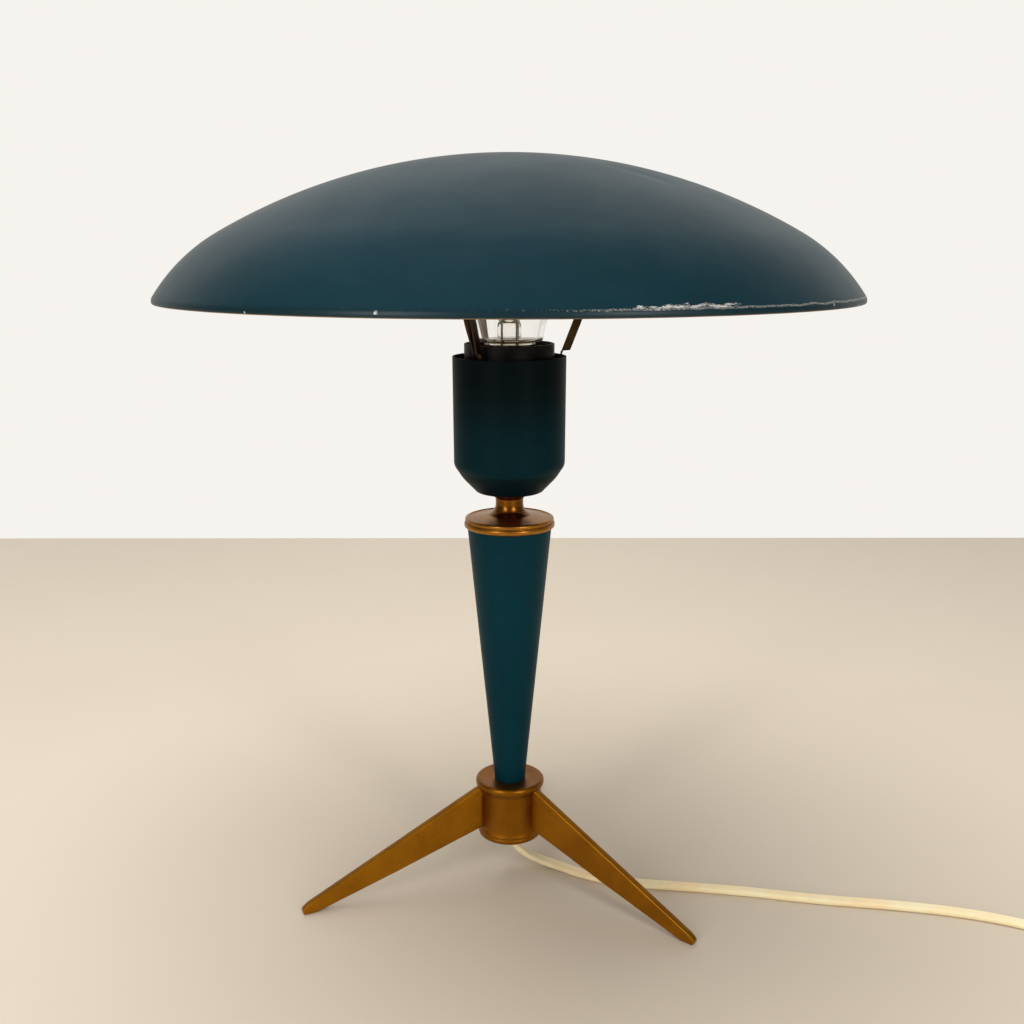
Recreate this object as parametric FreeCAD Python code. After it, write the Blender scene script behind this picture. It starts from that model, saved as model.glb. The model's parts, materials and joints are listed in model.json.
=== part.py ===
import FreeCAD
import Part
import math
import os

# A tripod table lamp: a spun dome shade on three channel arms, a lampholder cup that turns
# and tilts on a ball joint, a slim tapered stem, a turned hub and three blade legs, with a
# flat twin flex, an in-line switch and a two-pin plug.
# Millimetres, +Z up. The origin is on the stem's axis, at the height of the table.
# The front of the lamp faces -Y.

V = FreeCAD.Vector
UP = V(0, 0, 1)

# ---- driving dimensions -----------------------------------------------------------------

# general clearances
slip = 0.05             # radial play of a part that is pushed or screwed into another
gap = 0.3               # play between curved faces that move on each other

# legs
leg_azimuths = {"leg_left": 202.2, "leg_right": 322.2, "leg_back": 82.2}
leg_reach = 121.5       # from the stem's axis to the tip
leg_thickness = 4.0
leg_root_top = 1.8      # upper edge below the hub's top, at the barrel
leg_root_low = 7.2      # lower edge above the hub's floor, at the barrel
leg_foot = 8.2          # length of the flat that stands on the table
leg_heel = 1.2          # the flat ends this far before the tip
leg_heel_round = 16.0
leg_nose_height = 3.4
leg_nose_round = 2.4
leg_shoulder_round = 5.0
leg_shoulder = 3.6      # the upper edge turns down this far before the tip
leg_shoulder_height = 8.0
leg_edge_round = 0.7
leg_overlap = 1.5       # how far the blank runs into the hub before it is cut to fit
leg_screw_radius = 1.25
leg_screw_head = 2.3
leg_screw_bite = 8.0    # how far a screw reaches into the leg

# hub
hub_floor = 24.6        # underside of the hub above the table
hub_height = 33.4
hub_barrel_radius = 16.3
hub_lip_radius = 18.9
hub_lip_depth = 4.6
hub_bead_radius = 17.0
hub_bead_height = 3.3
hub_bore_radius = 11.5
hub_spigot_rise = 2.0   # the ring that centres the stem
spigot_play = 0.25      # between a spigot and the stem
hub_web = 7.0           # thickness of the hub's top
hub_dish = 0.7          # depth of the dished top face
base_plate_thickness = 2.0

# threaded tube, washer and nut that pull the stand together
tube_radius = 5.0
tube_bore_radius = 3.9
washer_radius = 9.0
washer_thickness = 1.5
nut_across_flats = 14.0
nut_height = 5.0
tube_engagement = 7.5   # length of the tube's thread in the neck
tube_thread_end = 1.5   # length of thread that shows past the nut

# stem
stem_length = 145.3
stem_low_radius = 8.4
stem_high_radius = 22.45
stem_wall = 1.1

# cap on the stem
cap_height = 6.9
cap_bead_radius = 23.9
cap_upper_bead_radius = 23.3
cap_plate = 4.4
cap_spigot = 3.0
cap_spigot_wall = 1.5
cap_bead_height = 2.95
cap_rim_height = 5.4

# neck and ball
neck_foot_radius = 11.3
neck_foot_height = 0.7
neck_waist_radius = 7.34
neck_sweep = 6.0        # radius of the hollow curve
neck_slope = 24.0       # of the foot's upper face, in degrees from level
pivot_height = 16.7     # centre of the ball above the cap
ball_radius = 11.0
seat_thickness = 1.3

# lampholder cup
cup_height = 71.3
cup_rim_radius = 29.5
cup_knee_radius = 29.2
cup_wall = 0.9
cup_knee_height = 14.6  # knee above the cup's floor
cup_break_height = 7.7  # break in the sloping shoulder above the floor
cup_break_radius = 24.6
cup_floor_radius = 17.2
cup_floor_offset = 4.6  # floor below the ball's centre

# clamp in the cup
socket_ring_radius = 20.0
socket_ring_top = 2.4   # above the ball's centre
clamp_flange = 2.4
clamp_flange_gap = 0.4  # left between the clamp and the ring, so that the screws can pull
clamp_dome_radius = 14.5
clamp_roof = 2.0        # metal over the ball's cavity
clamp_screw_circle = 16.6
clamp_screw_radius = 1.5
clamp_screw_head = 2.6
clamp_screw_bite = 2.8
clamp_screw_azimuth = 30.0
screw_slot = 0.7

# lampholder
locknut_height = 3.6
nipple_bore_radius = 3.7
holder_cap_height = 17.4
holder_radius = 21.0
holder_wall = 2.4
holder_sleeve = 34.8
holder_flange_radius = 23.0
holder_flange_height = 2.0
holder_collar_radius = 23.35
holder_collar_wall = 1.4
holder_collar_rise = 6.6    # of the collar above the cup's rim
insert_height = 8.0
shell_radius = 14.2
shell_wall = 0.5
shell_height = 24.5
contact_rivet_radius = 1.2
contact_rivet_x = -5.5
contact_rise = 2.2      # the bulb's tip above the thread shell's floor
contact_sheet = 0.5
contact_width = 5.0
nipple_rise = 5.0       # of the nipple above the lampholder's floor
terminal_x = 9.5
terminal_size = V(6.0, 7.0, 6.5)
terminal_screw_radius = 1.45
terminal_screw_drop = 3.2   # below the contact block
core_radius = 1.3
core_apart = 1.7        # each core's middle from the middle of the flex

# bulb
bulb_cap_radius = 13.2
bulb_cap_length = 27.0
bulb_neck_radius = 17.4
bulb_radius = 30.0
bulb_glass_length = 74.0
bulb_glass = 0.8
bulb_insert = 4.6       # the screw cap starts this far above the tip
bulb_contact_height = 1.6
bulb_contact_radius = 5.0
bulb_mount_radius = 6.2
bulb_mount_height = 12.0
bulb_post_radius = 2.0
bulb_post_height = 13.0
filament_radius = 11.0
filament_rise = 7.0

# shade arms
arm_first_azimuth = -2.6
arm_count = 3
arm_lean = 21.0         # degrees from upright
arm_width = 4.3
arm_foot_width = 2.3
arm_depth = 4.1
arm_sheet = 0.9
arm_tongue_radius = 26.4
arm_taper_length = 17.0
arm_pad_length = 13.0
arm_pad_width = 9.0
arm_bend_rise = 1.7     # the bend above the cup's rim
arm_ring_drop = 13.9    # underside of the ring below the collar's top
arm_ring_thickness = 1.2
arm_rivet_radius = 1.0
arm_rivet_head = 1.7
arm_rivet_tail = 1.5
arm_ring_radius = 27.9

# shade
shade_radius = 175.0
shade_rise = 70.6
shade_shoulder_radius = 92.0
shade_rim_lean = 30.0   # degrees from upright
shade_wall = 1.0
shade_rim_above_cup = 29.4

# flat twin flex
flex_width = 6.8
flex_thickness = 3.4
flex_rest = flex_thickness / 2      # height of its middle where it lies on the table
gland_length = 20.0
gland_drop = 4.6        # how far the sleeve reaches below the hub
gland_hole = 5.2        # radius of the hole in the base plate
gland_flange = 1.3      # how far the sleeve's flanges stand over the hole

# in-line switch
switch_length = 60.0
switch_width = 25.0
switch_height = 16.0
switch_split = 8.0      # height of the joint between its halves
switch_entry = 5.0      # height of the flex's middle at its ends
rocker_length = 16.0
rocker_width = 9.0
rocker_swing = 8.0      # degrees to each side of level
rocker_end_play = 0.9
rocker_rise = 2.6       # of the rocker's ends above its pin
rocker_pin_radius = 1.0
rocker_pin_drop = 3.6   # below the cover's top
rocker_pin_bite = 2.0   # how far each pin reaches into the cover
switch_taper = 11.0     # length of each tapered end
switch_corner = 8.0
switch_floor = 2.0
switch_screw_x = 6.5
switch_screw_y = 17.5
switch_screw_radius = 1.3
switch_screw_head = 2.4

# two-pin plug
plug_length = 34.0
plug_width = 26.4
plug_tail_width = 12.0
plug_thickness = 13.7
plug_sleeve = 12.0
plug_shoulder = 10.0    # length over which the body widens
pin_radius = 2.0
pin_length = 19.0
pin_spacing = 18.6
pin_nose = 0.9
pin_root = 6.0          # moulded into the body
pin_root_radius = 1.5
pin_relief = 0.5        # the narrow root starts this far outside the body

# coil of the put-away flex
coil_outer_radius = 47.0
coil_steps = 2          # how often each layer steps in or out by one pitch
coil_pitch = 7.3
coil_layer = 3.85
tie_wall = 1.0
tie_width = 9.0
tie_play = 0.4
tie_azimuth = -115.0

# ---- heights worked out from the sizes above --------------------------------------------

hub_top = hub_floor + hub_height
hub_seat = hub_top - hub_dish
hub_ceiling = hub_top - hub_web
stem_top = hub_seat + stem_length
cap_top = stem_top + cap_height
pivot = cap_top + pivot_height
seat_inner = ball_radius + gap
seat_outer = seat_inner + seat_thickness
socket_radius = seat_outer + gap
cup_floor = pivot - cup_floor_offset
cup_rim = cup_floor + cup_height
cup_inside = cup_floor + cup_wall
cup_hole_radius = math.sqrt(socket_radius ** 2 - (pivot - cup_inside) ** 2) + slip
ring_top = pivot + socket_ring_top
clamp_low = ring_top + clamp_flange_gap
clamp_top = pivot + socket_radius + clamp_roof
holder_floor = clamp_top + locknut_height
sleeve_floor = holder_floor + holder_cap_height
sleeve_top = sleeve_floor + holder_sleeve
shell_floor = sleeve_floor + insert_height
collar_top = cup_rim + holder_collar_rise
arm_ring_low = collar_top - arm_ring_drop
arm_ring_top = arm_ring_low + arm_ring_thickness
bulb_tip = shell_floor + contact_rise
bulb_cap_rim = bulb_tip + bulb_cap_length
rim_height = cup_rim + shade_rim_above_cup
shade_top = rim_height + shade_rise
plate_top = hub_floor + base_plate_thickness
gland_low = hub_floor - gland_drop
gland_top = gland_low + gland_length
tube_low = hub_ceiling - washer_thickness - nut_height - tube_thread_end
tube_top = cap_top + tube_engagement
nipple_low = pivot + math.sqrt(socket_radius ** 2 - tube_radius ** 2) + gap
nipple_top = holder_floor + nipple_rise
flex_end = nipple_top + 0.6
arm_bend = cup_rim + arm_bend_rise
arm_blank = 2 * shade_rise      # longer than any arm: the inside of the shade ends it
rocker_axis = switch_height - rocker_pin_drop

# ---- route of the flex: points chosen by hand, (x, y, height of its middle) --------------

lead_route = [
    (0.0, 0.0, gland_low),
    (0.0, 0.0, 15.2),
    (4.9, 0.9, 6.7),
    (12.6, 1.7, flex_rest),
    (25.0, -4.4, flex_rest),
    (40.5, -13.6, flex_rest),
    (63.0, -20.2, flex_rest),
    (94.0, -23.4, flex_rest),
    (130.0, -29.3, flex_rest),
    (166.0, -37.1, flex_rest),
    (203.0, -42.4, flex_rest),
    (238.0, -49.3, flex_rest),
    (268.0, -58.6, flex_rest),
    (291.0, -71.5, flex_rest),
    (306.0, -90.0, 3.0),
    (310.0, -108.0, switch_entry),
    (310.0, -124.0, switch_entry),
]
switch_place = V(310.0, -124.0, 0)      # middle of the end where the flex comes in
switch_exit = switch_place + V(0, -switch_length, 0)
coil_centre = V(268.0, -254.0, flex_rest)
coil_side = coil_centre.x + coil_outer_radius
tail_route = [
    (switch_exit.x, switch_exit.y, switch_entry),
    (switch_exit.x, switch_exit.y - 13.0, switch_entry),
    (switch_exit.x + 1.5, switch_exit.y - 30.0, flex_rest),
    (coil_side, coil_centre.y + flex_width + 15.0, flex_rest),
    (coil_side, coil_centre.y + flex_width, flex_rest),
]
coil_exit = V(coil_centre.x - coil_outer_radius, coil_centre.y + flex_width, flex_rest + coil_layer)
plug_entry = V(132.0, -186.0, plug_thickness / 2)
end_route = [
    (coil_exit.x, coil_exit.y, coil_exit.z),
    (coil_exit.x, coil_exit.y + 15.0, coil_exit.z),
    (coil_exit.x - 4.0, coil_exit.y + 33.0, flex_rest),
    (coil_exit.x - 17.0, coil_exit.y + 48.0, flex_rest),
    (coil_exit.x - 36.0, coil_exit.y + 56.0, 3.0),
    (plug_entry.x + plug_sleeve + 16.0, plug_entry.y, plug_entry.z),
    (plug_entry.x + plug_sleeve, plug_entry.y, plug_entry.z),
]


# ---- tools of the trade -----------------------------------------------------------------

def rounded_edges(corners, closed):
    """Edges through the corners, each corner (point, radius) rounded by a tangent arc."""
    count = len(corners)
    ends = []
    for i, (point, radius) in enumerate(corners):
        if radius == 0 or (not closed and i in (0, count - 1)):
            ends.append((point, point, None))
            continue
        back = (corners[i - 1][0] - point).normalize()
        ahead = (corners[(i + 1) % count][0] - point).normalize()
        half = back.getAngle(ahead) / 2
        reach = radius / math.tan(half)
        middle = (back + ahead).normalize() * (radius / math.sin(half) - radius)
        ends.append((point + back * reach, point + ahead * reach, point + middle))
    edges = []
    for i, (start, end, middle) in enumerate(ends):
        if middle is not None:
            edges.append(Part.Arc(start, middle, end).toShape())
        if i == count - 1 and not closed:
            continue
        following = ends[(i + 1) % count][0]
        if end.distanceToPoint(following) > 1e-6:
            edges.append(Part.makeLine(end, following))
    return edges


def outline(points, place=lambda a, b: V(a, 0, b)):
    """A closed face from (a, b) or (a, b, corner radius) points, in the XZ plane by default."""
    corners = [(place(p[0], p[1]), p[2] if len(p) > 2 else 0) for p in points]
    return Part.Face(Part.Wire(Part.__sortEdges__(rounded_edges(corners, True))))


def lathe(points):
    """A turned piece from its half section, (radius, height) with optional corner radii."""
    return outline(points).revolve(V(0, 0, 0), UP, 360)


def cylinder(radius, low, high, x=0.0, y=0.0):
    return Part.makeCylinder(radius, high - low, V(x, y, low))


def tube(outer, inner, low, high):
    return cylinder(outer, low, high).cut(cylinder(inner, low - 1, high + 1))


def ball(radius):
    """A ball about the joint's centre."""
    return Part.makeSphere(radius, V(0, 0, pivot))


def turned(shape, azimuth):
    """A copy of the shape, turned about the lamp's axis."""
    copy = shape.copy()
    copy.rotate(V(0, 0, 0), UP, azimuth)
    return copy


def hexagon(across_flats, low, high):
    corner = across_flats / math.sqrt(3)
    points = [
        (corner * math.cos(math.radians(60 * k)), corner * math.sin(math.radians(60 * k)))
        for k in range(6)
    ]
    return outline(points, lambda a, b: V(a, b, low)).extrude(V(0, 0, high - low))


def save(name, *solids):
    """Write one sub-part; a group of like pieces is kept as separate solids."""
    shape = solids[0] if len(solids) == 1 else Part.makeCompound(list(solids))
    shape.exportStep(f"parts/{name}.step")


# ---- stand ------------------------------------------------------------------------------

def hub_outside():
    """The hub's turned outline: rolled lip, hollow barrel and a bead at the foot."""
    barrel_low = hub_floor + hub_bead_height + 2.6
    barrel_high = hub_top - hub_lip_depth - 3.6
    return [
        (0, hub_floor),
        (hub_bead_radius - 0.4, hub_floor, 0.8),
        (hub_bead_radius, hub_floor + hub_bead_height / 2, 1.6),
        (hub_bead_radius - 0.3, hub_floor + hub_bead_height - 0.5, 0.6),
        (hub_barrel_radius - 0.1, hub_floor + hub_bead_height, 0),
        (hub_barrel_radius + 0.5, hub_floor + hub_bead_height + 0.5, 0.3),
        (hub_barrel_radius, barrel_low, 2.0),
        (hub_barrel_radius, barrel_high, 3.0),
        (hub_lip_radius, hub_top - hub_lip_depth, 2.2),
        (hub_lip_radius, hub_top, 1.7),
        (hub_lip_radius - 2.2, hub_top, 0.6),
        (stem_low_radius + 0.6, hub_seat),
        (0, hub_seat),
    ]


def make_hub():
    body = lathe(hub_outside())
    spigot_radius = stem_low_radius - stem_wall - spigot_play
    body = body.fuse(cylinder(spigot_radius, hub_seat - 1, hub_seat + hub_spigot_rise)).removeSplitter()
    body = body.cut(cylinder(hub_bore_radius, hub_floor - 1, hub_ceiling))
    body = body.cut(cylinder(tube_radius + slip, hub_floor, hub_top + hub_spigot_rise))
    for azimuth in leg_azimuths.values():
        for height in leg_screw_heights():
            body = body.cut(turned(leg_screw_hole(height), azimuth))
    save("hub_body", body)


def leg_screw_heights():
    middle = hub_floor + hub_height * 0.47
    return (middle - 5.5, middle + 4.5)


def leg_screw_hole(height):
    """The clear hole through the barrel's wall, along +X."""
    length = hub_barrel_radius - hub_bore_radius + 3
    return Part.makeCylinder(leg_screw_radius + slip, length, V(hub_bore_radius - 1, 0, height), V(1, 0, 0))


def leg_screw(height):
    """A pan head inside the bore, and a shank through the barrel into the leg's root."""
    seat = math.sqrt(hub_bore_radius ** 2 - leg_screw_head ** 2)
    shank = hub_barrel_radius - seat + leg_screw_bite
    screw = Part.makeCylinder(leg_screw_radius, shank, V(seat, 0, height), V(1, 0, 0))
    head = Part.makeCylinder(leg_screw_head, 1.5, V(seat - 1.5, 0, height), V(1, 0, 0))
    return screw.fuse(head).removeSplitter()


def leg_blade():
    """One leg along +X: a flat tapered blade with a rounded nose and a short flat to stand on."""
    root = hub_barrel_radius
    high = hub_top - leg_root_top
    low = hub_floor + leg_root_low
    shoulder = leg_reach - leg_shoulder
    toe = leg_reach - leg_heel
    heel = toe - leg_foot
    start = root - leg_overlap
    top_slope = (high - leg_shoulder_height) / (shoulder - root)
    low_slope = low / (heel - root)
    points = [
        (start, low + leg_overlap * low_slope),
        (heel, 0.0, leg_heel_round),
        (toe, 0.0, leg_heel),
        (leg_reach, leg_nose_height, leg_nose_round),
        (shoulder, leg_shoulder_height, leg_shoulder_round),
        (start, high + leg_overlap * top_slope),
    ]
    face = outline(points, lambda a, b: V(a, -leg_thickness / 2, b))
    blade = face.extrude(V(0, leg_thickness, 0))
    sides = [e for e in blade.Edges if abs(abs(e.CenterOfMass.y) - leg_thickness / 2) < 1e-6
             and e.BoundBox.XMax > root]
    return blade.makeFillet(leg_edge_round, sides)


def make_legs():
    hub = lathe(hub_outside())
    blade = leg_blade()
    screws = []
    for name, azimuth in leg_azimuths.items():
        leg = turned(blade, azimuth).cut(hub)
        for height in leg_screw_heights():
            screw = turned(leg_screw(height), azimuth)
            leg = leg.cut(screw)
            screws.append(screw)
        save(name, leg)
    save("leg_screws", *screws)


def make_tie_rod():
    """The threaded tube through the stem, with the washer and nut under the hub's top."""
    save("through_tube", tube(tube_radius, tube_bore_radius, tube_low, tube_top))
    washer_low = hub_ceiling - washer_thickness
    save("hub_washer", tube(washer_radius, tube_radius + slip, washer_low, hub_ceiling))
    nut = hexagon(nut_across_flats, washer_low - nut_height, washer_low)
    save("hub_nut", nut.cut(cylinder(tube_radius + slip, 0, hub_ceiling)))


def make_stem():
    """A tapered spun shell, open at both ends."""
    slope = (stem_high_radius - stem_low_radius) / stem_length
    across = stem_wall * math.sqrt(1 + slope ** 2)
    points = [
        (stem_low_radius, hub_seat),
        (stem_high_radius, stem_top),
        (stem_high_radius - across, stem_top),
        (stem_low_radius - across, hub_seat),
    ]
    save("stem_cone", lathe(points))


def make_cap():
    """The turned cap: a sloping top inside two beads, and a spigot inside the stem."""
    inner = tube_radius + slip
    spigot = stem_high_radius - stem_wall - spigot_play - 0.1
    middle = stem_top + cap_bead_height
    rim = stem_top + cap_rim_height
    points = [
        (inner, cap_top),
        (neck_foot_radius + 0.6, cap_top, 0.4),
        (cap_upper_bead_radius - 2.2, rim - 0.5, 0.4),
        (cap_upper_bead_radius - 1.5, rim, 0.5),
        (cap_upper_bead_radius, rim - 0.5, 0.7),
        (cap_upper_bead_radius, middle + 0.3, 0.6),
        (cap_upper_bead_radius - 0.8, middle),
        (cap_bead_radius, middle - 0.1, 1.0),
        (cap_bead_radius, stem_top, 0.9),
        (spigot, stem_top),
        (spigot, stem_top - cap_spigot),
        (spigot - cap_spigot_wall, stem_top - cap_spigot),
        (spigot - cap_spigot_wall, cap_top - cap_plate),
        (inner, cap_top - cap_plate),
    ]
    save("stem_cap", lathe(points))


def make_neck():
    """The hollow-waisted neck and the ball on it, turned in one piece and bored for the flex."""
    slope = math.tan(math.radians(neck_slope))
    throat = cap_top + neck_foot_height + (neck_foot_radius - neck_waist_radius) * slope
    neck = lathe([
        (0, cap_top),
        (neck_foot_radius, cap_top, 0.3),
        (neck_foot_radius, cap_top + neck_foot_height, 0.3),
        (neck_waist_radius, throat, neck_sweep),
        (neck_waist_radius, pivot),
        (0, pivot),
    ])
    body = neck.fuse(ball(ball_radius)).removeSplitter()
    body = body.cut(cylinder(tube_bore_radius, cap_top - 1, pivot + ball_radius + 1))
    save("neck_ball", body.cut(cylinder(tube_radius + slip, cap_top - 1, tube_top + 0.5)))


def flex_section(place):
    """The section of the flat twin flex: two half rounds joined by flats."""
    half = (flex_width - flex_thickness) / 2
    rise = flex_thickness / 2
    edges = [
        Part.makeLine(place(-half, -rise), place(half, -rise)),
        Part.Arc(place(half, -rise), place(half + rise, 0), place(half, rise)).toShape(),
        Part.makeLine(place(half, rise), place(-half, rise)),
        Part.Arc(place(-half, rise), place(-half - rise, 0), place(-half, -rise)).toShape(),
    ]
    return Part.Wire(edges)


flex_area = (flex_width - flex_thickness) * flex_thickness + math.pi * flex_thickness ** 2 / 4


def upright_flex(low, high):
    """A straight stretch of the flex on the lamp's axis."""
    face = Part.Face(flex_section(lambda a, b: V(b, a, low)))
    return face.extrude(V(0, 0, high - low))


def make_cord_entry():
    """The plate that closes the hub, the rubber sleeve in it and the flex inside the stem."""
    save("hub_base_plate", tube(hub_bore_radius - slip, gland_hole, hub_floor, plate_top))
    sleeve = lathe([
        (0, gland_low),
        (flex_width / 2 + 0.9, gland_low, 0.4),
        (gland_hole + gland_flange, hub_floor - 1.2, 0.4),
        (gland_hole + gland_flange, hub_floor),
        (gland_hole - slip, hub_floor),
        (gland_hole - slip, plate_top),
        (gland_hole + gland_flange - 0.2, plate_top),
        (gland_hole + 0.6, gland_top, 0.5),
        (0, gland_top),
    ])
    save("cord_sleeve", sleeve.cut(upright_flex(gland_low - 1, gland_top + 1)))
    save("stem_flex", upright_flex(gland_low, pivot + ball_radius - 0.6))


# ---- ball joint -------------------------------------------------------------------------

def spherical_zone(outer, inner, low, high):
    """The part of a thick ball shell between two heights above the joint's centre."""
    belt = cylinder(outer + 5, pivot + low, pivot + high)
    return belt.common(ball(outer)).cut(ball(inner))


def make_seats():
    """The two friction rings that the ball runs in, one below its middle and one above."""
    save("lower_seat", spherical_zone(seat_outer, seat_inner, -cup_floor_offset - 0.6, -0.8))
    save("upper_seat", spherical_zone(seat_outer, seat_inner, 3.4, 9.2))


def clamp_screw_places():
    for k in range(3):
        angle = math.radians(clamp_screw_azimuth + 120 * k)
        yield clamp_screw_circle * math.cos(angle), clamp_screw_circle * math.sin(angle)


def make_clamp():
    """The socket ring in the cup's floor, the clamp over the ball and its three screws."""
    slope = cup_break_height / (cup_break_radius - cup_floor_radius)
    step = cup_floor_radius - 2.0
    ring = lathe([
        (cup_hole_radius, cup_inside),
        (step, cup_inside),
        (socket_ring_radius, cup_inside + (socket_ring_radius - step) * slope, 0.5),
        (socket_ring_radius, ring_top, 0.4),
        (cup_hole_radius, ring_top),
    ])
    ring = ring.fuse(tube(cup_hole_radius + 1, ball_radius - 2, cup_inside, ring_top)).removeSplitter()
    ring = ring.cut(ball(socket_radius)).cut(cylinder(socket_radius, pivot, ring_top + 1))
    ring = ring.cut(cylinder(cup_hole_radius, cup_floor - 1, cup_inside + 0.01))
    clamp = lathe([
        (0, clamp_low),
        (socket_ring_radius, clamp_low, 0.4),
        (socket_ring_radius, clamp_low + clamp_flange, 0.4),
        (clamp_dome_radius, clamp_low + clamp_flange, 1.0),
        (clamp_dome_radius - 1.0, clamp_top, 2.0),
        (0, clamp_top),
    ])
    clamp = clamp.cut(ball(socket_radius)).cut(cylinder(tube_radius + slip, pivot, clamp_top + 1))
    screws = []
    head_low = clamp_low + clamp_flange
    for x, y in clamp_screw_places():
        hole = cylinder(clamp_screw_radius + slip, ring_top - clamp_screw_bite - 0.5, clamp_top, x, y)
        ring = ring.cut(hole)
        clamp = clamp.cut(hole)
        shank = cylinder(clamp_screw_radius, ring_top - clamp_screw_bite, head_low + 1, x, y)
        head = cylinder(clamp_screw_head, head_low, head_low + 1.9, x, y)
        slot = Part.makeBox(6, screw_slot, 1, V(x - 3, y - screw_slot / 2, head_low + 1.1))
        screws.append(shank.fuse(head).removeSplitter().cut(slot))
        clamp = clamp.cut(cylinder(clamp_screw_head + 0.3, head_low, clamp_top, x, y))
    save("socket_ring", ring)
    save("ball_clamp", clamp)
    save("clamp_screws", *screws)


# ---- cup --------------------------------------------------------------------------------

def offset_path(points, distance):
    """The open path moved sideways, to its left, by the distance; corner radii shrink."""
    moved = []
    lines = []
    for (x0, z0, _), (x1, z1, _) in zip(points, points[1:]):
        length = math.hypot(x1 - x0, z1 - z0)
        nx, nz = -(z1 - z0) / length * distance, (x1 - x0) / length * distance
        lines.append(((x0 + nx, z0 + nz), (x1 + nx, z1 + nz)))
    moved.append((*lines[0][0], 0))
    for (a, b), (c, d), (_, _, radius) in zip(lines, lines[1:], points[1:]):
        ux, uz = b[0] - a[0], b[1] - a[1]
        wx, wz = d[0] - c[0], d[1] - c[1]
        t = ((c[0] - a[0]) * wz - (c[1] - a[1]) * wx) / (ux * wz - uz * wx)
        moved.append((a[0] + ux * t, a[1] + uz * t, max(radius - distance, 0.2)))
    moved.append((*lines[-1][1], 0))
    return moved


def make_cup():
    """The spun cup round the lampholder: straight wall, sloping shoulder, flat floor."""
    outside = [
        (cup_hole_radius, cup_floor, 0),
        (cup_floor_radius, cup_floor, 3.0),
        (cup_break_radius, cup_floor + cup_break_height, 18.0),
        (cup_knee_radius, cup_floor + cup_knee_height, 6.0),
        (cup_rim_radius, cup_rim, 0),
    ]
    inside = offset_path(outside, cup_wall)
    inside[-1] = (inside[-1][0], cup_rim, 0)
    save("lampholder_cup", lathe(outside + inside[::-1]))


# ---- lampholder -------------------------------------------------------------------------

def make_lampholder():
    save("holder_nipple", tube(tube_radius, nipple_bore_radius, nipple_low, nipple_top))
    locknut = hexagon(nut_across_flats, clamp_top, holder_floor)
    save("holder_locknut", locknut.cut(cylinder(tube_radius + slip, 0, holder_floor + 1)))
    ledge = holder_radius - holder_wall - 2.0
    save("holder_cap", lathe([
        (tube_radius + slip, holder_floor),
        (13.5, holder_floor, 1.0),
        (holder_radius - 0.4, holder_floor + 8.5, 5.0),
        (holder_radius - 0.1, sleeve_floor, 0.4),
        (ledge, sleeve_floor),
        (ledge, holder_floor + 10.5, 3.0),
        (12.0, holder_floor + 3.2, 1.0),
        (tube_radius + slip, holder_floor + 3.2),
    ]))
    inner = holder_radius - holder_wall
    flange_low = arm_ring_low - holder_flange_height
    save("holder_sleeve", lathe([
        (holder_radius, sleeve_floor, 0.4),
        (holder_radius, flange_low),
        (holder_flange_radius, flange_low, 0.3),
        (holder_flange_radius, arm_ring_low),
        (holder_radius, arm_ring_low),
        (holder_radius, sleeve_top, 0.5),
        (shell_radius + 1.6, sleeve_top, 0.8),
        (shell_radius + 1.6, sleeve_top - 1.6),
        (inner, sleeve_top - 3.4),
        (inner, sleeve_floor),
    ]))
    save("holder_collar", lathe([
        (holder_radius + slip, arm_ring_top),
        (holder_collar_radius, arm_ring_top, 0.4),
        (holder_collar_radius, collar_top, 0.4),
        (holder_collar_radius - holder_collar_wall, collar_top, 0.3),
        (holder_collar_radius - holder_collar_wall, sleeve_top + 0.6),
        (holder_radius + slip, sleeve_top - 0.4),
    ]))
    block = cylinder(inner - 0.2, sleeve_floor, shell_floor)
    save("contact_block", block.cut(cylinder(contact_rivet_radius, 0, shell_floor + 1, contact_rivet_x)))
    save("thread_shell", lathe([
        (shell_radius, shell_floor, 0.4),
        (shell_radius, shell_floor + shell_height),
        (shell_radius - shell_wall, shell_floor + shell_height),
        (shell_radius - shell_wall, shell_floor + shell_wall),
        (9.5, shell_floor + shell_wall),
        (9.5, shell_floor),
    ]))
    make_contacts()


def make_contacts():
    """The centre contact's leaf and rivet, two terminals with their screws, and the cores."""
    leaf = outline([
        (-8.0, shell_floor), (-1.0, shell_floor),
        (4.0, bulb_tip - contact_sheet + 0.1), (6.5, bulb_tip - 2 * contact_sheet + 0.1),
        (6.5, bulb_tip - contact_sheet + 0.1), (4.0, bulb_tip),
        (-1.2, shell_floor + contact_sheet), (-8.0, shell_floor + contact_sheet),
    ], lambda a, b: V(a, -contact_width / 2, b)).extrude(V(0, contact_width, 0))
    rivet = cylinder(contact_rivet_radius, sleeve_floor, shell_floor + 1.1, contact_rivet_x)
    save("centre_contact", leaf.fuse(rivet).removeSplitter())
    blocks = []
    screws = []
    wires = []
    size = terminal_size
    back = V(0, 1, 0)
    for side in (-1, 1):
        x = side * terminal_x
        body = Part.makeBox(size.x, size.y, size.z, V(x - size.x / 2, -size.y / 2, sleeve_floor - size.z))
        front = V(x, -size.y / 2 - 1.6, sleeve_floor - terminal_screw_drop)
        hole = Part.makeCylinder(terminal_screw_radius + slip, size.y, front, back)
        blocks.append(body.cut(hole))
        screw = Part.makeCylinder(terminal_screw_radius, size.y - 2, front, back)
        screws.append(screw.fuse(Part.makeCylinder(2.4, 1.6, front, back)).removeSplitter())
        wires.append(core_wire(side, x))
    save("terminal_blocks", *blocks)
    save("terminal_screws", *screws)
    save("core_wires", *wires)
    save("head_flex", upright_flex(nipple_low, flex_end))


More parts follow.
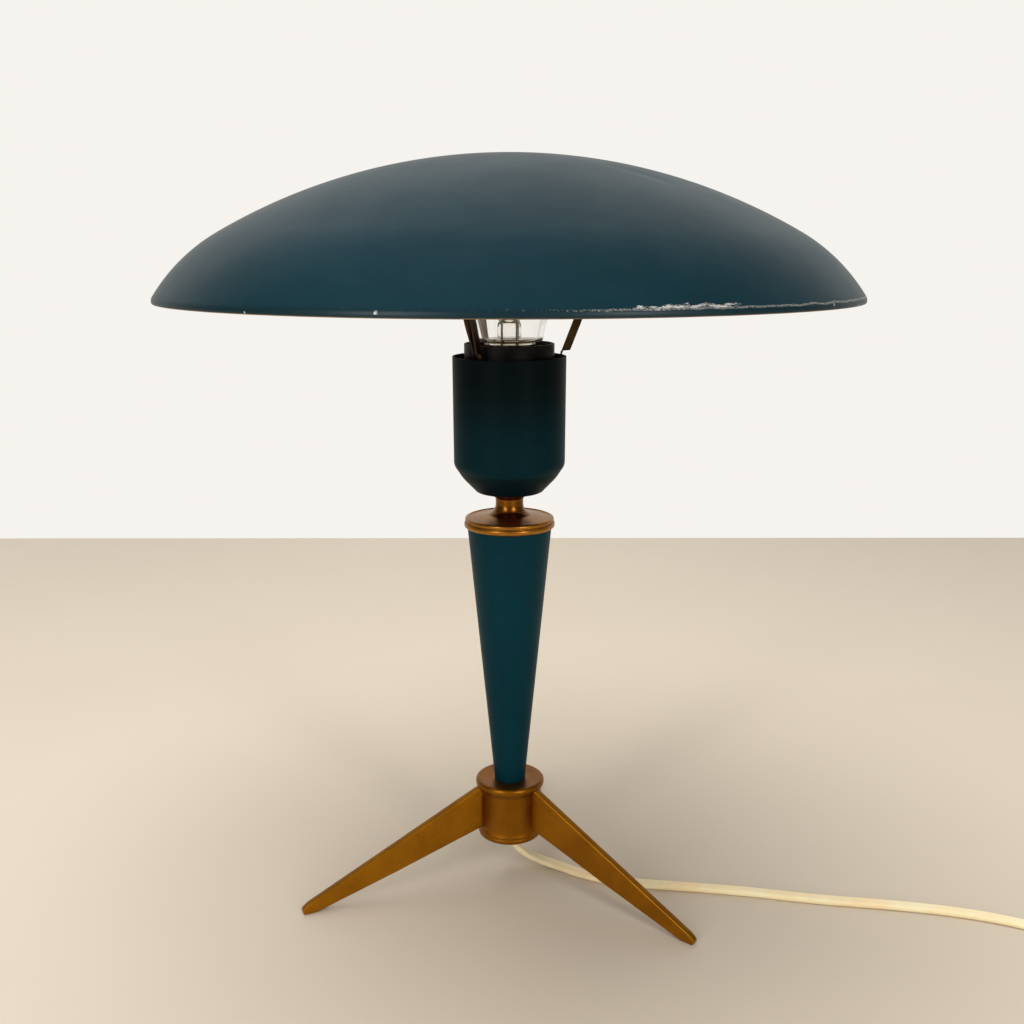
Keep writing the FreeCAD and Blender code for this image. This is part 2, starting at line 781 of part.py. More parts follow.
def core_wire(side, x):
    """One insulated core from the end of the flex to its terminal."""
    start = V(0, side * core_apart, flex_end)
    end = V(x, 0, sleeve_floor - terminal_size.z)
    path = Part.Wire(rounded_edges([
        (start, 0),
        (start + UP * 2.0, core_radius + 0.1),
        (end - UP * 2.1, core_radius + 0.1),
        (end, 0),
    ], False))
    circle = Part.Wire(Part.makeCircle(core_radius, start, UP))
    return path.makePipeShell([circle], True, False)


# ---- bulb -------------------------------------------------------------------------------

def glass_outline(inset):
    """The pear-shaped envelope's half section, moved in by the wall."""
    neck = bulb_cap_rim
    widest = neck + bulb_glass_length - bulb_radius
    return [
        (bulb_cap_radius - 0.8 - inset, neck - 4.0),
        (bulb_cap_radius - 0.8 - inset, neck + 0.4 + inset, 1.2),
        (bulb_neck_radius - inset, neck + 1.6 + inset, 1.8),
        (bulb_neck_radius + 1.3 - inset, neck + 10.0, 20.0),
        (bulb_radius - inset, widest - 12.0, 26.0),
        (bulb_radius - inset, widest + 6.0),
    ], widest


def make_bulb():
    """A clear lamp: glass, the mount inside it, the screw cap, its insulator and contact."""
    shells = []
    for inset in (0.0, bulb_glass):
        points, widest = glass_outline(inset)
        top = widest + 6.0
        body = lathe(points + [(0, top), (0, points[0][1])])
        shells.append(body.fuse(dome(bulb_radius - inset, top, bulb_glass_length - inset)).removeSplitter())
    save("bulb_glass", shells[0].cut(shells[1]))
    cap_low = bulb_tip + bulb_insert
    contact_top = bulb_tip + bulb_contact_height
    save("bulb_cap", lathe([
        (bulb_cap_radius, cap_low + 4.0, 1.0),
        (bulb_cap_radius, bulb_cap_rim - 1.0, 0.4),
        (bulb_cap_radius + 0.3, bulb_cap_rim),
        (bulb_cap_radius - 0.5, bulb_cap_rim),
        (bulb_cap_radius - 0.5, cap_low + 4.2, 0.6),
        (8.0, cap_low + 0.4),
        (8.0, cap_low),
        (9.0, cap_low, 0.4),
    ]))
    save("bulb_insulator", lathe([
        (bulb_contact_radius, contact_top),
        (8.0, cap_low),
        (8.0, cap_low + 0.4),
        (0, cap_low + 0.4),
        (0, contact_top),
    ]))
    save("bulb_contact", lathe([
        (0, bulb_tip), (3.0, bulb_tip, 0.8), (bulb_contact_radius, contact_top), (0, contact_top),
    ]))
    wires = filament()
    save("bulb_mount", bulb_mount().cut(wires))
    save("bulb_filament", wires)


def dome(radius, base, reach):
    """The rounded crown of the glass, from its widest height to the top."""
    top = bulb_cap_rim + reach
    rise = top - base
    bend = (radius ** 2 + rise ** 2) / (2 * rise)
    cap = Part.makeSphere(bend, V(0, 0, top - bend))
    return cap.common(cylinder(radius, base, top + 1))


def bulb_mount():
    """The glass mount: a flared tube that is pinched to a flat press at its top."""
    low = bulb_cap_rim - 3.8
    flare = bulb_cap_radius - 0.8 - bulb_glass
    press = bulb_cap_rim + bulb_mount_height
    bead = press + bulb_post_height
    stem = lathe([
        (0, low),
        (flare, low),
        (bulb_mount_radius, low + 4.0, 3.0),
        (bulb_mount_radius, press - 2.0, 3.0),
        (bulb_post_radius, press + 3.0, 1.0),
        (bulb_post_radius, bead, 1.2),
        (0, bead),
    ])
    return stem.fuse(Part.makeSphere(bulb_post_radius + 0.6, V(0, 0, bead))).removeSplitter()


def filament():
    """Two lead wires, three hooks and the tungsten wire, each a thin rod."""
    press = bulb_cap_rim + bulb_mount_height
    bead = press + bulb_post_height
    ring = filament_radius
    high = bead + filament_rise
    leads = [rod(V(side * 4.2, 0, press - 3.5), V(side * ring, 0, high), 0.35) for side in (-1, 1)]
    angles = [math.radians(45 * k) for k in range(5)]
    places = [V(ring * math.cos(a), ring * math.sin(a), high) for a in angles]
    wires = [rod(a, b, 0.3) for a, b in zip(places, places[1:])]
    hooks = [rod(V(0, 0, bead), p, 0.25) for p in places[1:4]]
    return leads[0].multiFuse([leads[1], *wires, *hooks])


def rod(start, end, radius):
    along = end - start
    return Part.makeCylinder(radius, along.Length, start, along)


# ---- shade and its arms -----------------------------------------------------------------

def shade_arcs(inset):
    """Centres and radii of the shoulder and the crown, and the angle where they meet."""
    lean = math.radians(shade_rim_lean)
    shoulder_r = shade_radius - shade_shoulder_radius * math.cos(lean)
    shoulder_z = rim_height - shade_shoulder_radius * math.sin(lean)
    drop = shoulder_z - shade_top
    s = shade_shoulder_radius
    crown = (s * s - shoulder_r ** 2 - drop ** 2) / (2 * (drop + s))
    crown_z = shade_top - crown
    meet = math.atan2(shoulder_z - crown_z, shoulder_r)
    return shoulder_r, shoulder_z, s - inset, crown - inset, crown_z, meet, lean


def shade_edges(inset):
    """The dome's half section from the rim to the top: a shoulder arc and a crown arc."""
    sr, sz, shoulder, crown, crown_z, meet, lean = shade_arcs(inset)

    def on(r, z, radius, angle):
        return V(r + radius * math.cos(angle), 0, z + radius * math.sin(angle))

    high = math.pi / 2
    return [
        Part.Arc(on(sr, sz, shoulder, lean), on(sr, sz, shoulder, (lean + meet) / 2),
                 on(sr, sz, shoulder, meet)).toShape(),
        Part.Arc(on(0, crown_z, crown, meet), on(0, crown_z, crown, (meet + high) / 2),
                 on(0, crown_z, crown, high)).toShape(),
    ]


def make_shade():
    """The spun dome, its cut edge rounded."""
    outer = shade_edges(0)
    inner = shade_edges(shade_wall)
    ends = [
        Part.makeLine(outer[-1].Vertexes[-1].Point, inner[-1].Vertexes[-1].Point),
        rim_round(outer[0], inner[0]),
    ]
    wire = Part.Wire(Part.__sortEdges__(outer + inner + ends))
    save("shade", Part.Face(wire).revolve(V(0, 0, 0), UP, 360))


def rim_round(outer, inner):
    """The half-round edge between the outside and the inside at the rim."""
    a = outer.valueAt(outer.FirstParameter)
    b = inner.valueAt(inner.FirstParameter)
    lean = math.radians(shade_rim_lean)
    down = V(math.sin(lean), 0, -math.cos(lean)) * (shade_wall * 0.5)
    return Part.Arc(a, (a + b) * 0.5 + down, b).toShape()


def arm_side(depth_low, depth_high, start, length):
    """The arm's leaning stretch seen from the side, as a closed list of points."""
    lean = math.radians(arm_lean)
    along = (math.sin(lean), math.cos(lean))
    out = (math.cos(lean), -math.sin(lean))

    def place(s, d):
        return (arm_tongue_radius + along[0] * s + out[0] * d, arm_bend + along[1] * s + out[1] * d)

    return [place(start, depth_low), place(length, depth_low),
            place(length, depth_high), place(start, depth_high)]


def arm_taper(inset):
    """A wedge along the arm that narrows it towards its foot."""
    lean = math.radians(arm_lean)
    along = V(math.sin(lean), 0, math.cos(lean))
    out = V(math.cos(lean), 0, -math.sin(lean))
    origin = V(arm_tongue_radius, 0, arm_bend) - out * 3
    foot = arm_foot_width / 2 - inset
    full = arm_width / 2 - inset
    top = arm_blank + 10
    points = [
        (-20, foot), (0, foot), (arm_taper_length, full), (top, full),
        (top, -full), (arm_taper_length, -full), (0, -foot), (-20, -foot),
    ]
    face = outline(points, lambda s, w: origin + along * s + V(0, w, 0))
    return face.extrude(out * (arm_depth + 12))


def side_plate(points, width=40.0):
    return outline(points, lambda a, b: V(a, -width / 2, b)).extrude(V(0, width, 0))


def arm_shape():
    """One arm along +X: riveted tab, tongue in the cup, leaning channel and welded pad."""
    crown, crown_z = shade_arcs(shade_wall)[3:5]
    inside = Part.makeSphere(crown, V(0, 0, crown_z))
    channel = side_plate(arm_side(0, arm_depth, 1.2, arm_blank)).common(arm_taper(0))
    hollow = side_plate(arm_side(arm_sheet, arm_depth + 3, -1, arm_blank + 1)).common(arm_taper(arm_sheet))
    channel = channel.cut(hollow).common(inside)
    tab_end = holder_collar_radius + 0.5
    foot = side_plate([
        (tab_end, arm_ring_top),
        (arm_tongue_radius + arm_sheet, arm_ring_top),
        (arm_tongue_radius + arm_sheet, arm_bend + 0.9),
        (arm_tongue_radius, arm_bend + 0.9),
        (arm_tongue_radius, arm_ring_top + arm_sheet),
        (tab_end, arm_ring_top + arm_sheet),
    ], arm_foot_width)
    knuckle = side_plate(arm_side(0, arm_sheet, -0.6, 1.6), arm_foot_width)
    tab = outline([
        (tab_end, -3.0, 1.0), (arm_tongue_radius + arm_sheet, -3.0, 1.0),
        (arm_tongue_radius + arm_sheet, 3.0, 1.0), (tab_end, 3.0, 1.0),
    ], lambda a, b: V(a, b, arm_ring_top)).extrude(V(0, 0, arm_sheet))
    return channel.multiFuse([foot, knuckle, tab, arm_pad(crown, crown_z)]).removeSplitter()


def arm_reach(crown, crown_z):
    """The radius at which the arm's inner face meets the inside of the shade."""
    lean = math.radians(arm_lean)
    ux, uz = math.sin(lean), math.cos(lean)
    px, pz = arm_tongue_radius, arm_bend - crown_z
    b = px * ux + pz * uz
    return px + ux * (-b + math.sqrt(b * b - (px * px + pz * pz - crown * crown)))


def arm_pad(crown, crown_z):
    """The foot plate that is welded to the shade, bent to the shade's own curve."""
    start = arm_reach(crown, crown_z) - 1.0
    block = outline([
        (start, -arm_pad_width / 2, 2.0), (start + arm_pad_length, -arm_pad_width / 2, 4.0),
        (start + arm_pad_length, arm_pad_width / 2, 4.0), (start, arm_pad_width / 2, 2.0),
    ], lambda a, b: V(a, b, crown_z)).extrude(V(0, 0, crown + 5))
    centre = V(0, 0, crown_z)
    return block.common(Part.makeSphere(crown, centre)).cut(Part.makeSphere(crown - arm_sheet, centre))


def make_arms():
    """The carrier ring held under the collar, and three arms riveted to it."""
    rivet_circle = (holder_collar_radius + arm_tongue_radius + arm_sheet) / 2 + 0.3
    ring = tube(arm_ring_radius, holder_radius + slip * 3, arm_ring_low, arm_ring_top)
    arm = arm_shape()
    tab_top = arm_ring_top + arm_sheet
    rivet = cylinder(arm_rivet_radius, arm_ring_low, tab_top, rivet_circle)
    head = cylinder(arm_rivet_head, tab_top, tab_top + 0.8, rivet_circle)
    tail = cylinder(arm_rivet_tail, arm_ring_low - 0.6, arm_ring_low, rivet_circle)
    rivet = rivet.multiFuse([head, tail]).removeSplitter()
    arm = arm.cut(rivet)
    rivets = []
    for k, name in enumerate(("shade_arm_right", "shade_arm_back", "shade_arm_left")):
        azimuth = arm_first_azimuth + 360 / arm_count * k
        save(name, turned(arm, azimuth))
        ring = ring.cut(turned(rivet, azimuth))
        rivets.append(turned(rivet, azimuth))
    save("arm_ring", ring)
    save("arm_rivets", *rivets)


# ---- flex, switch and plug --------------------------------------------------------------

def route_wire(route, name):
    """Straight runs and tangent arcs along the route, as large as the runs allow."""
    points = [V(*p) for p in route]
    corners = [(points[0], 0)]
    for a, b, c in zip(points, points[1:], points[2:]):
        back = (a - b)
        ahead = (c - b)
        half_turn = (math.pi - back.getAngle(ahead)) / 2
        corners.append((b, 0.45 * min(back.Length, ahead.Length) / math.tan(half_turn)))
    corners.append((points[-1], 0))
    print(name, "bend radii:", " ".join(f"{r:.0f}" for _, r in corners[1:-1]))
    return Part.Wire(rounded_edges(corners, False))


def flex_along(wire, across, name):
    """The flat flex swept along a wire; across is the wide way of its section at the start."""
    edge = wire.OrderedEdges[0]
    start = edge.valueAt(edge.FirstParameter)
    tangent = edge.tangentAt(edge.FirstParameter)
    wide = V(*across).normalize()
    thin = tangent.cross(wide).normalize()
    section = flex_section(lambda a, b: start + wide * a + thin * b)
    solid = wire.makePipeShell([section], True, False)
    print(f"{name}: length {wire.Length:.1f}, volume / (section x length) "
          f"{solid.Volume / (wire.Length * flex_area):.4f}, valid {solid.isValid()}")
    return solid


def make_lead():
    save("cord_lead", flex_along(route_wire(lead_route, "cord_lead"), (0, 1, 0), "cord_lead"))
    save("cord_tail", flex_along(route_wire(tail_route, "cord_tail"), (1, 0, 0), "cord_tail"))
    save("cord_end", flex_along(route_wire(end_route, "cord_end"), (1, 0, 0), "cord_end"))


def quarter_turn(start, tangent, end):
    """The arc that leaves start along the unit tangent and ends at end."""
    chord = end - start
    angle = tangent.getAngle(chord)
    middle = (tangent + V(chord).normalize()).normalize()
    return Part.Arc(start, start + middle * (chord.Length / (2 * math.cos(angle / 2))), end).toShape()


def coil_stops():
    """Radius and height at the end of each half turn.

    The near halves (-Y) keep their radius, the far halves step in by one pitch. The middle
    near half climbs onto the second layer, and the far halves then step out again.
    """
    radius = coil_outer_radius
    stops = [(radius, 0.0), (radius, 0.0)]
    for _ in range(coil_steps - 1):
        radius -= coil_pitch
        stops += [(radius, 0.0), (radius, 0.0)]
    radius -= coil_pitch
    stops += [(radius, 0.0), (radius, coil_layer)]
    for _ in range(coil_steps):
        radius += coil_pitch
        stops += [(radius, coil_layer), (radius, coil_layer)]
    return stops


def coil_wire():
    """Half circles, clockwise from above, each as a pair of quarter turns; its ends run straight."""
    stops = coil_stops()
    entry = coil_centre + V(coil_outer_radius, 0, 0)
    edges = [Part.makeLine(entry + V(0, flex_width, 0), entry)]
    side = 1
    for (r0, z0), (r1, z1) in zip(stops, stops[1:]):
        start = coil_centre + V(side * r0, 0, z0)
        end = coil_centre + V(-side * r1, 0, z1)
        reach = start.distanceToPoint(end) / 2
        middle = (start + end) * 0.5 + V(0, -side * reach, 0)
        edges.append(quarter_turn(start, V(0, -side, 0), middle))
        edges.append(quarter_turn(end, V(0, -side, 0), middle))
        side = -side
    radius, height = stops[-1]
    last = coil_centre + V(side * radius, 0, height)
    edges.append(Part.makeLine(last, last + V(0, -side * flex_width, 0)))
    return Part.Wire(Part.__sortEdges__(edges))


def least_self_gap(wire):
    """Clear space between the flex's turns, measured between the flats of its sections."""
    count = 900
    near = 60.0
    points = wire.discretize(Number=count)
    away = int(near * count / wire.Length)
    flat = flex_width - flex_thickness
    least = wire.Length
    for i, p in enumerate(points):
        for q in points[i + away:]:
            across = max(math.hypot(p.x - q.x, p.y - q.y) - flat, 0)
            least = min(least, math.hypot(across, p.z - q.z) - flex_thickness)
    return least


def make_coil():
    wire = coil_wire()
    print(f"cord_coil: least gap to itself {least_self_gap(wire):.2f}")
    save("cord_coil", flex_along(wire, (1, 0, 0), "cord_coil"))
    save("coil_tie", coil_tie())


def coil_tie():
    """A flat strap bent round the bundle of turns, on the coil's near side."""
    bundle = coil_steps * coil_pitch + flex_width
    inner = coil_outer_radius + flex_width / 2 - bundle - tie_play
    outer = coil_outer_radius + flex_width / 2 + tie_play
    top = 2 * flex_rest + coil_layer + tie_play

    def loop(wall, width):
        points = [
            (inner - wall, 0), (outer + wall, 0),
            (outer + wall, top + wall, 1.5), (inner - wall, top + wall, 1.5),
        ]
        return outline(points, lambda a, b: V(a, -width / 2, b)).extrude(V(0, width, 0))

    strap = loop(tie_wall, tie_width).cut(loop(0, tie_width + 2))
    strap = turned(strap, tie_azimuth)
    strap.translate(V(coil_centre.x, coil_centre.y, 0))
    return strap


def switch_shell(low, high, level, edge_round):
    """A block with tapered ends between two heights, its edges at one level rounded."""
    half = switch_width / 2
    tail = flex_width / 2 + 2.0
    near = -switch_taper
    far = -switch_length + switch_taper
    points = [
        (-tail, 0, 1.5), (-half, near, switch_corner),
        (-half, far, switch_corner), (-tail, -switch_length, 1.5),
        (tail, -switch_length, 1.5), (half, far, switch_corner),
        (half, near, switch_corner), (tail, 0, 1.5),
    ]
    face = outline(points, lambda a, b: V(a, b, low))
    body = face.extrude(V(0, 0, high - low))
    rim = [e for e in body.Edges
           if abs(e.BoundBox.ZMin - level) < 1e-6 and abs(e.BoundBox.ZMax - level) < 1e-6]
    return body.makeFillet(edge_round, rim)


def make_switch():
    """The in-line switch: two halves, two screws from below and a rocker on its own pin."""
    middle = -switch_length / 2
    base = switch_shell(0, switch_split, 0, 0.8)
    cover = switch_shell(switch_split, switch_height, switch_height, 2.2)
    room_x = rocker_width + 8.0
    room_y = rocker_length + 8.0
    corner = V(-room_x / 2, middle - room_y / 2, switch_floor)
    base = base.cut(Part.makeBox(room_x, room_y, switch_split, corner))
    window_x = rocker_width / 2 + gap
    window_y = rocker_length / 2 + rocker_end_play
    corner = V(-window_x, middle - window_y, switch_split)
    cover = cover.cut(Part.makeBox(2 * window_x, 2 * window_y, switch_height, corner))
    bore_reach = rocker_width / 2 + rocker_pin_bite + gap
    cover = cover.cut(Part.makeCylinder(
        rocker_pin_radius + slip, 2 * bore_reach, V(-bore_reach, middle, rocker_axis), V(1, 0, 0)))
    screws = []
    for side in (-1, 1):
        x = side * switch_screw_x
        y = middle - side * switch_screw_y
        hole = cylinder(switch_screw_radius + slip, 1.4, switch_height - 4, x, y)
        base = base.cut(hole).cut(cylinder(switch_screw_head + 0.2, -1, 1.5, x, y))
        cover = cover.cut(hole)
        shank = cylinder(switch_screw_radius, 1.4, switch_height - 4.5, x, y)
        screws.append(shank.fuse(cylinder(switch_screw_head, 0.3, 1.5, x, y)).removeSplitter())
    for name, pieces in (("switch_base", [base]), ("switch_cover", [cover]), ("switch_screws", screws),
                         ("switch_rocker", [rocker()])):
        for piece in pieces:
            piece.translate(switch_place)
        save(name, *pieces)


def rocker():
    """A shallow V-shaped rocker with two stub pins, resting with one end down."""
    middle = -switch_length / 2
    half = rocker_length / 2
    low = rocker_axis - rocker_rise
    top = rocker_axis + rocker_rise
    tilt = math.tan(math.radians(rocker_swing)) * half
    profile = [
        (-half, low, 0.6), (half, low, 0.6), (half, top + tilt, 0.5),
        (0, top + 0.6, 6.0), (-half, top + tilt, 0.5),
    ]
    face = outline(profile, lambda a, b: V(-rocker_width / 2, middle + a, b))
    body = face.extrude(V(rocker_width, 0, 0))
    reach = rocker_width / 2 + rocker_pin_bite
    pins = Part.makeCylinder(rocker_pin_radius, 2 * reach, V(-reach, middle, rocker_axis), V(1, 0, 0))
    body = body.fuse(pins).removeSplitter()
    body.rotate(V(0, middle, rocker_axis), V(1, 0, 0), rocker_swing)
    return body


def make_plug():
    """A flat two-pin plug, moulded on the flex, pointing along -X."""
    half = plug_width / 2
    tail = plug_tail_width / 2
    body = outline([
        (0, -tail, 3.0), (-plug_shoulder, -half, plug_shoulder), (-plug_length, -half, 2.5),
        (-plug_length, half, 2.5), (-plug_shoulder, half, plug_shoulder), (0, tail, 3.0),
    ], lambda a, b: V(a, b, 0)).extrude(V(0, 0, plug_thickness))
    flat = [e for e in body.Edges if e.BoundBox.ZLength < 1e-6]
    body = body.makeFillet(1.8, flat)
    sleeve = Part.makeCone(plug_thickness / 2 - 1.2, flex_width / 2 + 0.5, plug_sleeve + 2,
                           V(-2, 0, plug_thickness / 2), V(1, 0, 0))
    body = body.fuse(sleeve).removeSplitter()
    pins = []
    for side in (-1, 1):
        at = V(-plug_length - pin_length, side * pin_spacing / 2, plug_thickness / 2)
        pin = Part.makeCylinder(pin_radius, pin_length - pin_relief, at, V(1, 0, 0))
        nose = [e for e in pin.Edges if abs(e.BoundBox.XMax - at.x) < 1e-6]
        pin = pin.makeFillet(pin_nose, nose)
        root = Part.makeCylinder(pin_root_radius, pin_length - 1 + pin_root, at + V(1, 0, 0), V(1, 0, 0))
        pin = pin.fuse(root).removeSplitter()
        body = body.cut(pin)
        pins.append(pin)
    for piece in [body, *pins]:
        piece.translate(V(plug_entry.x, plug_entry.y, 0))
    save("plug_body", body)
    save("plug_pins", *pins)


def main():
    os.makedirs("parts", exist_ok=True)
    make_hub()
    make_legs()
    make_tie_rod()
    make_stem()
    make_cap()
    make_neck()
    make_cord_entry()
    make_seats()
    make_clamp()
    make_cup()
    make_lampholder()
    make_bulb()
    make_shade()
    make_arms()
    make_lead()
    make_coil()
    make_switch()
    make_plug()


main()
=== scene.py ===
"""A tripod table lamp: dome shade, lampholder cup on a ball joint, tapered stem, hub and blade legs.

Lengths are in metres. The origin is on the stem's axis at the height of the table, +Z is up, and
the front of the lamp faces -Y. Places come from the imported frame's own boxes wherever it has them.
"""

import json
import logging
import math
from dataclasses import dataclass
from enum import Enum
from functools import cache
from typing import ClassVar, Sequence

import bmesh
import bpy
import numpy as np
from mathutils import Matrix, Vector


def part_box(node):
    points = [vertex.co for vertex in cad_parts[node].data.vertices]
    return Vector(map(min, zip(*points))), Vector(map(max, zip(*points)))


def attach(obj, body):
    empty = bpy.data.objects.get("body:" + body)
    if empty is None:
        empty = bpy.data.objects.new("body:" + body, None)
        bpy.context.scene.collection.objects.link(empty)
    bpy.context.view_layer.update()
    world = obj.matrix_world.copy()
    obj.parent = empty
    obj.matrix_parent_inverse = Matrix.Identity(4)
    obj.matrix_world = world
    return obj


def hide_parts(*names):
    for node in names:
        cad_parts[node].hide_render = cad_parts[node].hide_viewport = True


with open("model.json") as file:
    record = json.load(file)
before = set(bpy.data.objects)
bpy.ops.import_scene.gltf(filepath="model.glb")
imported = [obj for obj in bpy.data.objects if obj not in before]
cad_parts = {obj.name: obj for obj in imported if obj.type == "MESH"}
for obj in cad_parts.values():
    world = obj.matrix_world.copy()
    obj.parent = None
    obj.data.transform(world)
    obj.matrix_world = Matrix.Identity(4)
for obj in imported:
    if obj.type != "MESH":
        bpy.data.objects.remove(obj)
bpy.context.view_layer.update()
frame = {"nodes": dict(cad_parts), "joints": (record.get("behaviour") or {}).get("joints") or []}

MM = 0.001
WELD = 0.001 * MM
COPY_WELD = 0.002 * MM
LOG = logging.getLogger("lamp")

Array = np.ndarray
Colour = tuple[float, float, float]


class Body(str, Enum):
    """The moving groups of the lamp."""

    STAND = "stand"
    LOWER_RING = "lower_ring"
    UPPER_RING = "upper_ring"
    HEAD = "head"
    ROCKER = "rocker"


def srgb(red: int, green: int, blue: int) -> Colour:
    """A colour given as it shows on a screen, 0 to 255, as linear light."""
    parts = np.array([red, green, blue]) / 255.0
    linear = np.where(parts <= 0.04045, parts / 12.92, ((parts + 0.055) / 1.055) ** 2.4)
    return tuple(float(v) for v in linear)


# ---- surfaces ---------------------------------------------------------------------------


def rounded(corners: Sequence[Sequence[float]], closed: bool = False, step: float = 9.0) -> Array:
    """A path through corners, each replaced by the arc that is tangent to both of its sides.

    The arc of radius q starts q / tan(half the angle between the sides) from the corner, and its
    centre lies on the bisector at q / sin(half the angle).

    Args:
        corners: (a, b) or (a, b, radius) for each corner.
        closed: whether the last corner joins the first.
        step: the turn from one point of an arc to the next, in degrees.

    Returns:
        The path's points, (n, 2).
    """
    path: list[Array] = []
    count = len(corners)
    for i, corner in enumerate(corners):
        here = np.array(corner[:2], float)
        radius = corner[2] if len(corner) > 2 else 0.0
        if radius == 0 or (not closed and i in (0, count - 1)):
            path.append(here[None])
            continue
        back = np.array(corners[i - 1][:2], float) - here
        ahead = np.array(corners[(i + 1) % count][:2], float) - here
        back /= np.linalg.norm(back)
        ahead /= np.linalg.norm(ahead)
        half = math.acos(float(np.clip(back @ ahead, -1, 1))) / 2
        centre = here + (back + ahead) / np.linalg.norm(back + ahead) * radius / math.sin(half)
        first = here + back * radius / math.tan(half) - centre
        turn = math.pi - 2 * half
        side = 1.0 if back[0] * ahead[1] - back[1] * ahead[0] < 0 else -1.0
        angles = np.linspace(0, turn * side, max(3, int(math.degrees(turn) / step) + 2))
        cos, sin = np.cos(angles), np.sin(angles)
        spoke = np.stack([first[0] * cos - first[1] * sin, first[0] * sin + first[1] * cos], 1)
        path.append(centre + spoke)
    return np.concatenate(path)


def subdivided(path: Array, longest: float) -> Array:
    """The same path with its long straight stretches cut into equal parts no longer than given."""
    spans = np.linalg.norm(np.diff(path, axis=0), axis=1)
    cuts = np.maximum(1, np.ceil(spans / longest)).astype(int)
    starts = np.repeat(path[:-1], cuts, axis=0)
    steps = np.repeat(np.diff(path, axis=0) / cuts[:, None], cuts, axis=0)
    order = np.arange(len(starts)) - np.repeat(np.cumsum(cuts) - cuts, cuts)
    return np.concatenate([starts + steps * order[:, None], path[-1:]])


def grid_faces(rows: int, cols: int, wrap_rows: bool, wrap_cols: bool) -> Array:
    """Corner indices of the quads between neighbouring rows and columns of a grid of points."""
    i, j = np.meshgrid(
        np.arange(rows if wrap_rows else rows - 1),
        np.arange(cols if wrap_cols else cols - 1),
        indexing="ij",
    )
    i1, j1 = (i + 1) % rows, (j + 1) % cols
    return np.stack([i * cols + j, i * cols + j1, i1 * cols + j1, i1 * cols + j], -1).reshape(-1, 4)


def placed(name: str, data: bpy.types.ID) -> bpy.types.Object:
    """A new object that shows the data, linked into the scene."""
    made = bpy.data.objects.new(name, data)
    bpy.context.scene.collection.objects.link(made)
    return made


def read(items: bpy.types.bpy_prop_collection, attribute: str) -> Array:
    """A vector attribute of every one of a mesh's items, (n, 3)."""
    flat = np.zeros(len(items) * 3)
    items.foreach_get(attribute, flat)
    return flat.reshape(-1, 3)


def smoothed(mesh: bpy.types.Mesh, weld: float, sharp: float, outward: bool = False) -> None:
    """Weld a mesh and shade it smooth.

    Args:
        mesh: the mesh, which is changed in place.
        weld: points nearer to each other than this become one.
        sharp: edges that turn by more than this many degrees stay crisp.
        outward: whether the faces are turned outwards too.
    """
    work = bmesh.new()
    work.from_mesh(mesh)
    bmesh.ops.remove_doubles(work, verts=work.verts, dist=weld)
    if outward:
        bmesh.ops.recalc_face_normals(work, faces=work.faces)
    work.to_mesh(mesh)
    work.free()
    mesh.polygons.foreach_set("use_smooth", np.ones(len(mesh.polygons), bool))
    mesh.set_sharp_from_angle(angle=math.radians(sharp))


def build(name: str, points: Array, faces: Array, sharp: float = 40.0) -> bpy.types.Object:
    """A smooth-shaded piece from points and quads, with its poles welded and its faces outwards.

    Args:
        name: the piece's name.
        points: (n, 3) positions in the lamp's frame.
        faces: (m, 4) point indices.
        sharp: edges that turn by more than this many degrees stay crisp.

    Returns:
        The object, in the scene.
    """
    mesh = bpy.data.meshes.new(name)
    mesh.vertices.add(len(points))
    mesh.vertices.foreach_set("co", np.ascontiguousarray(points, np.float32).ravel())
    mesh.loops.add(faces.size)
    mesh.loops.foreach_set("vertex_index", faces.astype(np.int32).ravel())
    mesh.polygons.add(len(faces))
    mesh.polygons.foreach_set("loop_start", np.arange(0, faces.size, 4, dtype=np.int32))
    mesh.update(calc_edges=True)
    smoothed(mesh, WELD, sharp, outward=True)
    return placed(name, mesh)


def joined(parts: Sequence[tuple[Array, Array]]) -> tuple[Array, Array]:
    """Several sets of points and quads as one set."""
    offsets = np.cumsum([0] + [len(p) for p, _ in parts[:-1]])
    points = np.concatenate([p for p, _ in parts])
    faces = np.concatenate([f + o for (_, f), o in zip(parts, offsets)])
    return points, faces


def turned(profile: Array, closed: bool, segments: int = 160) -> tuple[Array, Array]:
    """A turned surface: the profile (r, z) carried round the Z axis.

    A point is (r cos a, r sin a, z), with a in equal steps round the full circle.

    Args:
        profile: (n, 2) radii and heights.
        closed: whether the profile is a closed loop, as in a ring, or runs from pole to pole.
        segments: steps round the circle.

    Returns:
        Points and quads.
    """
    angle = np.linspace(0, 2 * math.pi, segments, endpoint=False)
    r, z = profile[:, :1], profile[:, 1:]
    height = np.broadcast_to(z, (len(z), segments))
    grid = np.stack([r * np.cos(angle), r * np.sin(angle), height], -1)
    return grid.reshape(-1, 3), grid_faces(len(profile), segments, closed, True)


def spun(points: Array, azimuth: float) -> Array:
    """The points turned about the lamp's axis by the azimuth, in degrees."""
    a = math.radians(azimuth)
    c, s = math.cos(a), math.sin(a)
    return points @ np.array([[c, s, 0], [-s, c, 0], [0, 0, 1]])


def offset_path(path: Array, distance: float) -> Array:
    """The path moved along its own left-hand normals, averaged at each point."""
    step = np.diff(path, axis=0)
    step /= np.linalg.norm(step, axis=1)[:, None]
    along = np.concatenate([step[:1], step[:-1] + step[1:], step[-1:]])
    length = np.linalg.norm(along, axis=1)[:, None]
    normal = np.stack([-along[:, 1], along[:, 0]], 1) / length
    stretch = np.concatenate([[1.0], 2.0 / length[1:-1, 0], [1.0]])[:, None]
    return path + normal * distance * stretch


# ---- finishes ---------------------------------------------------------------------------


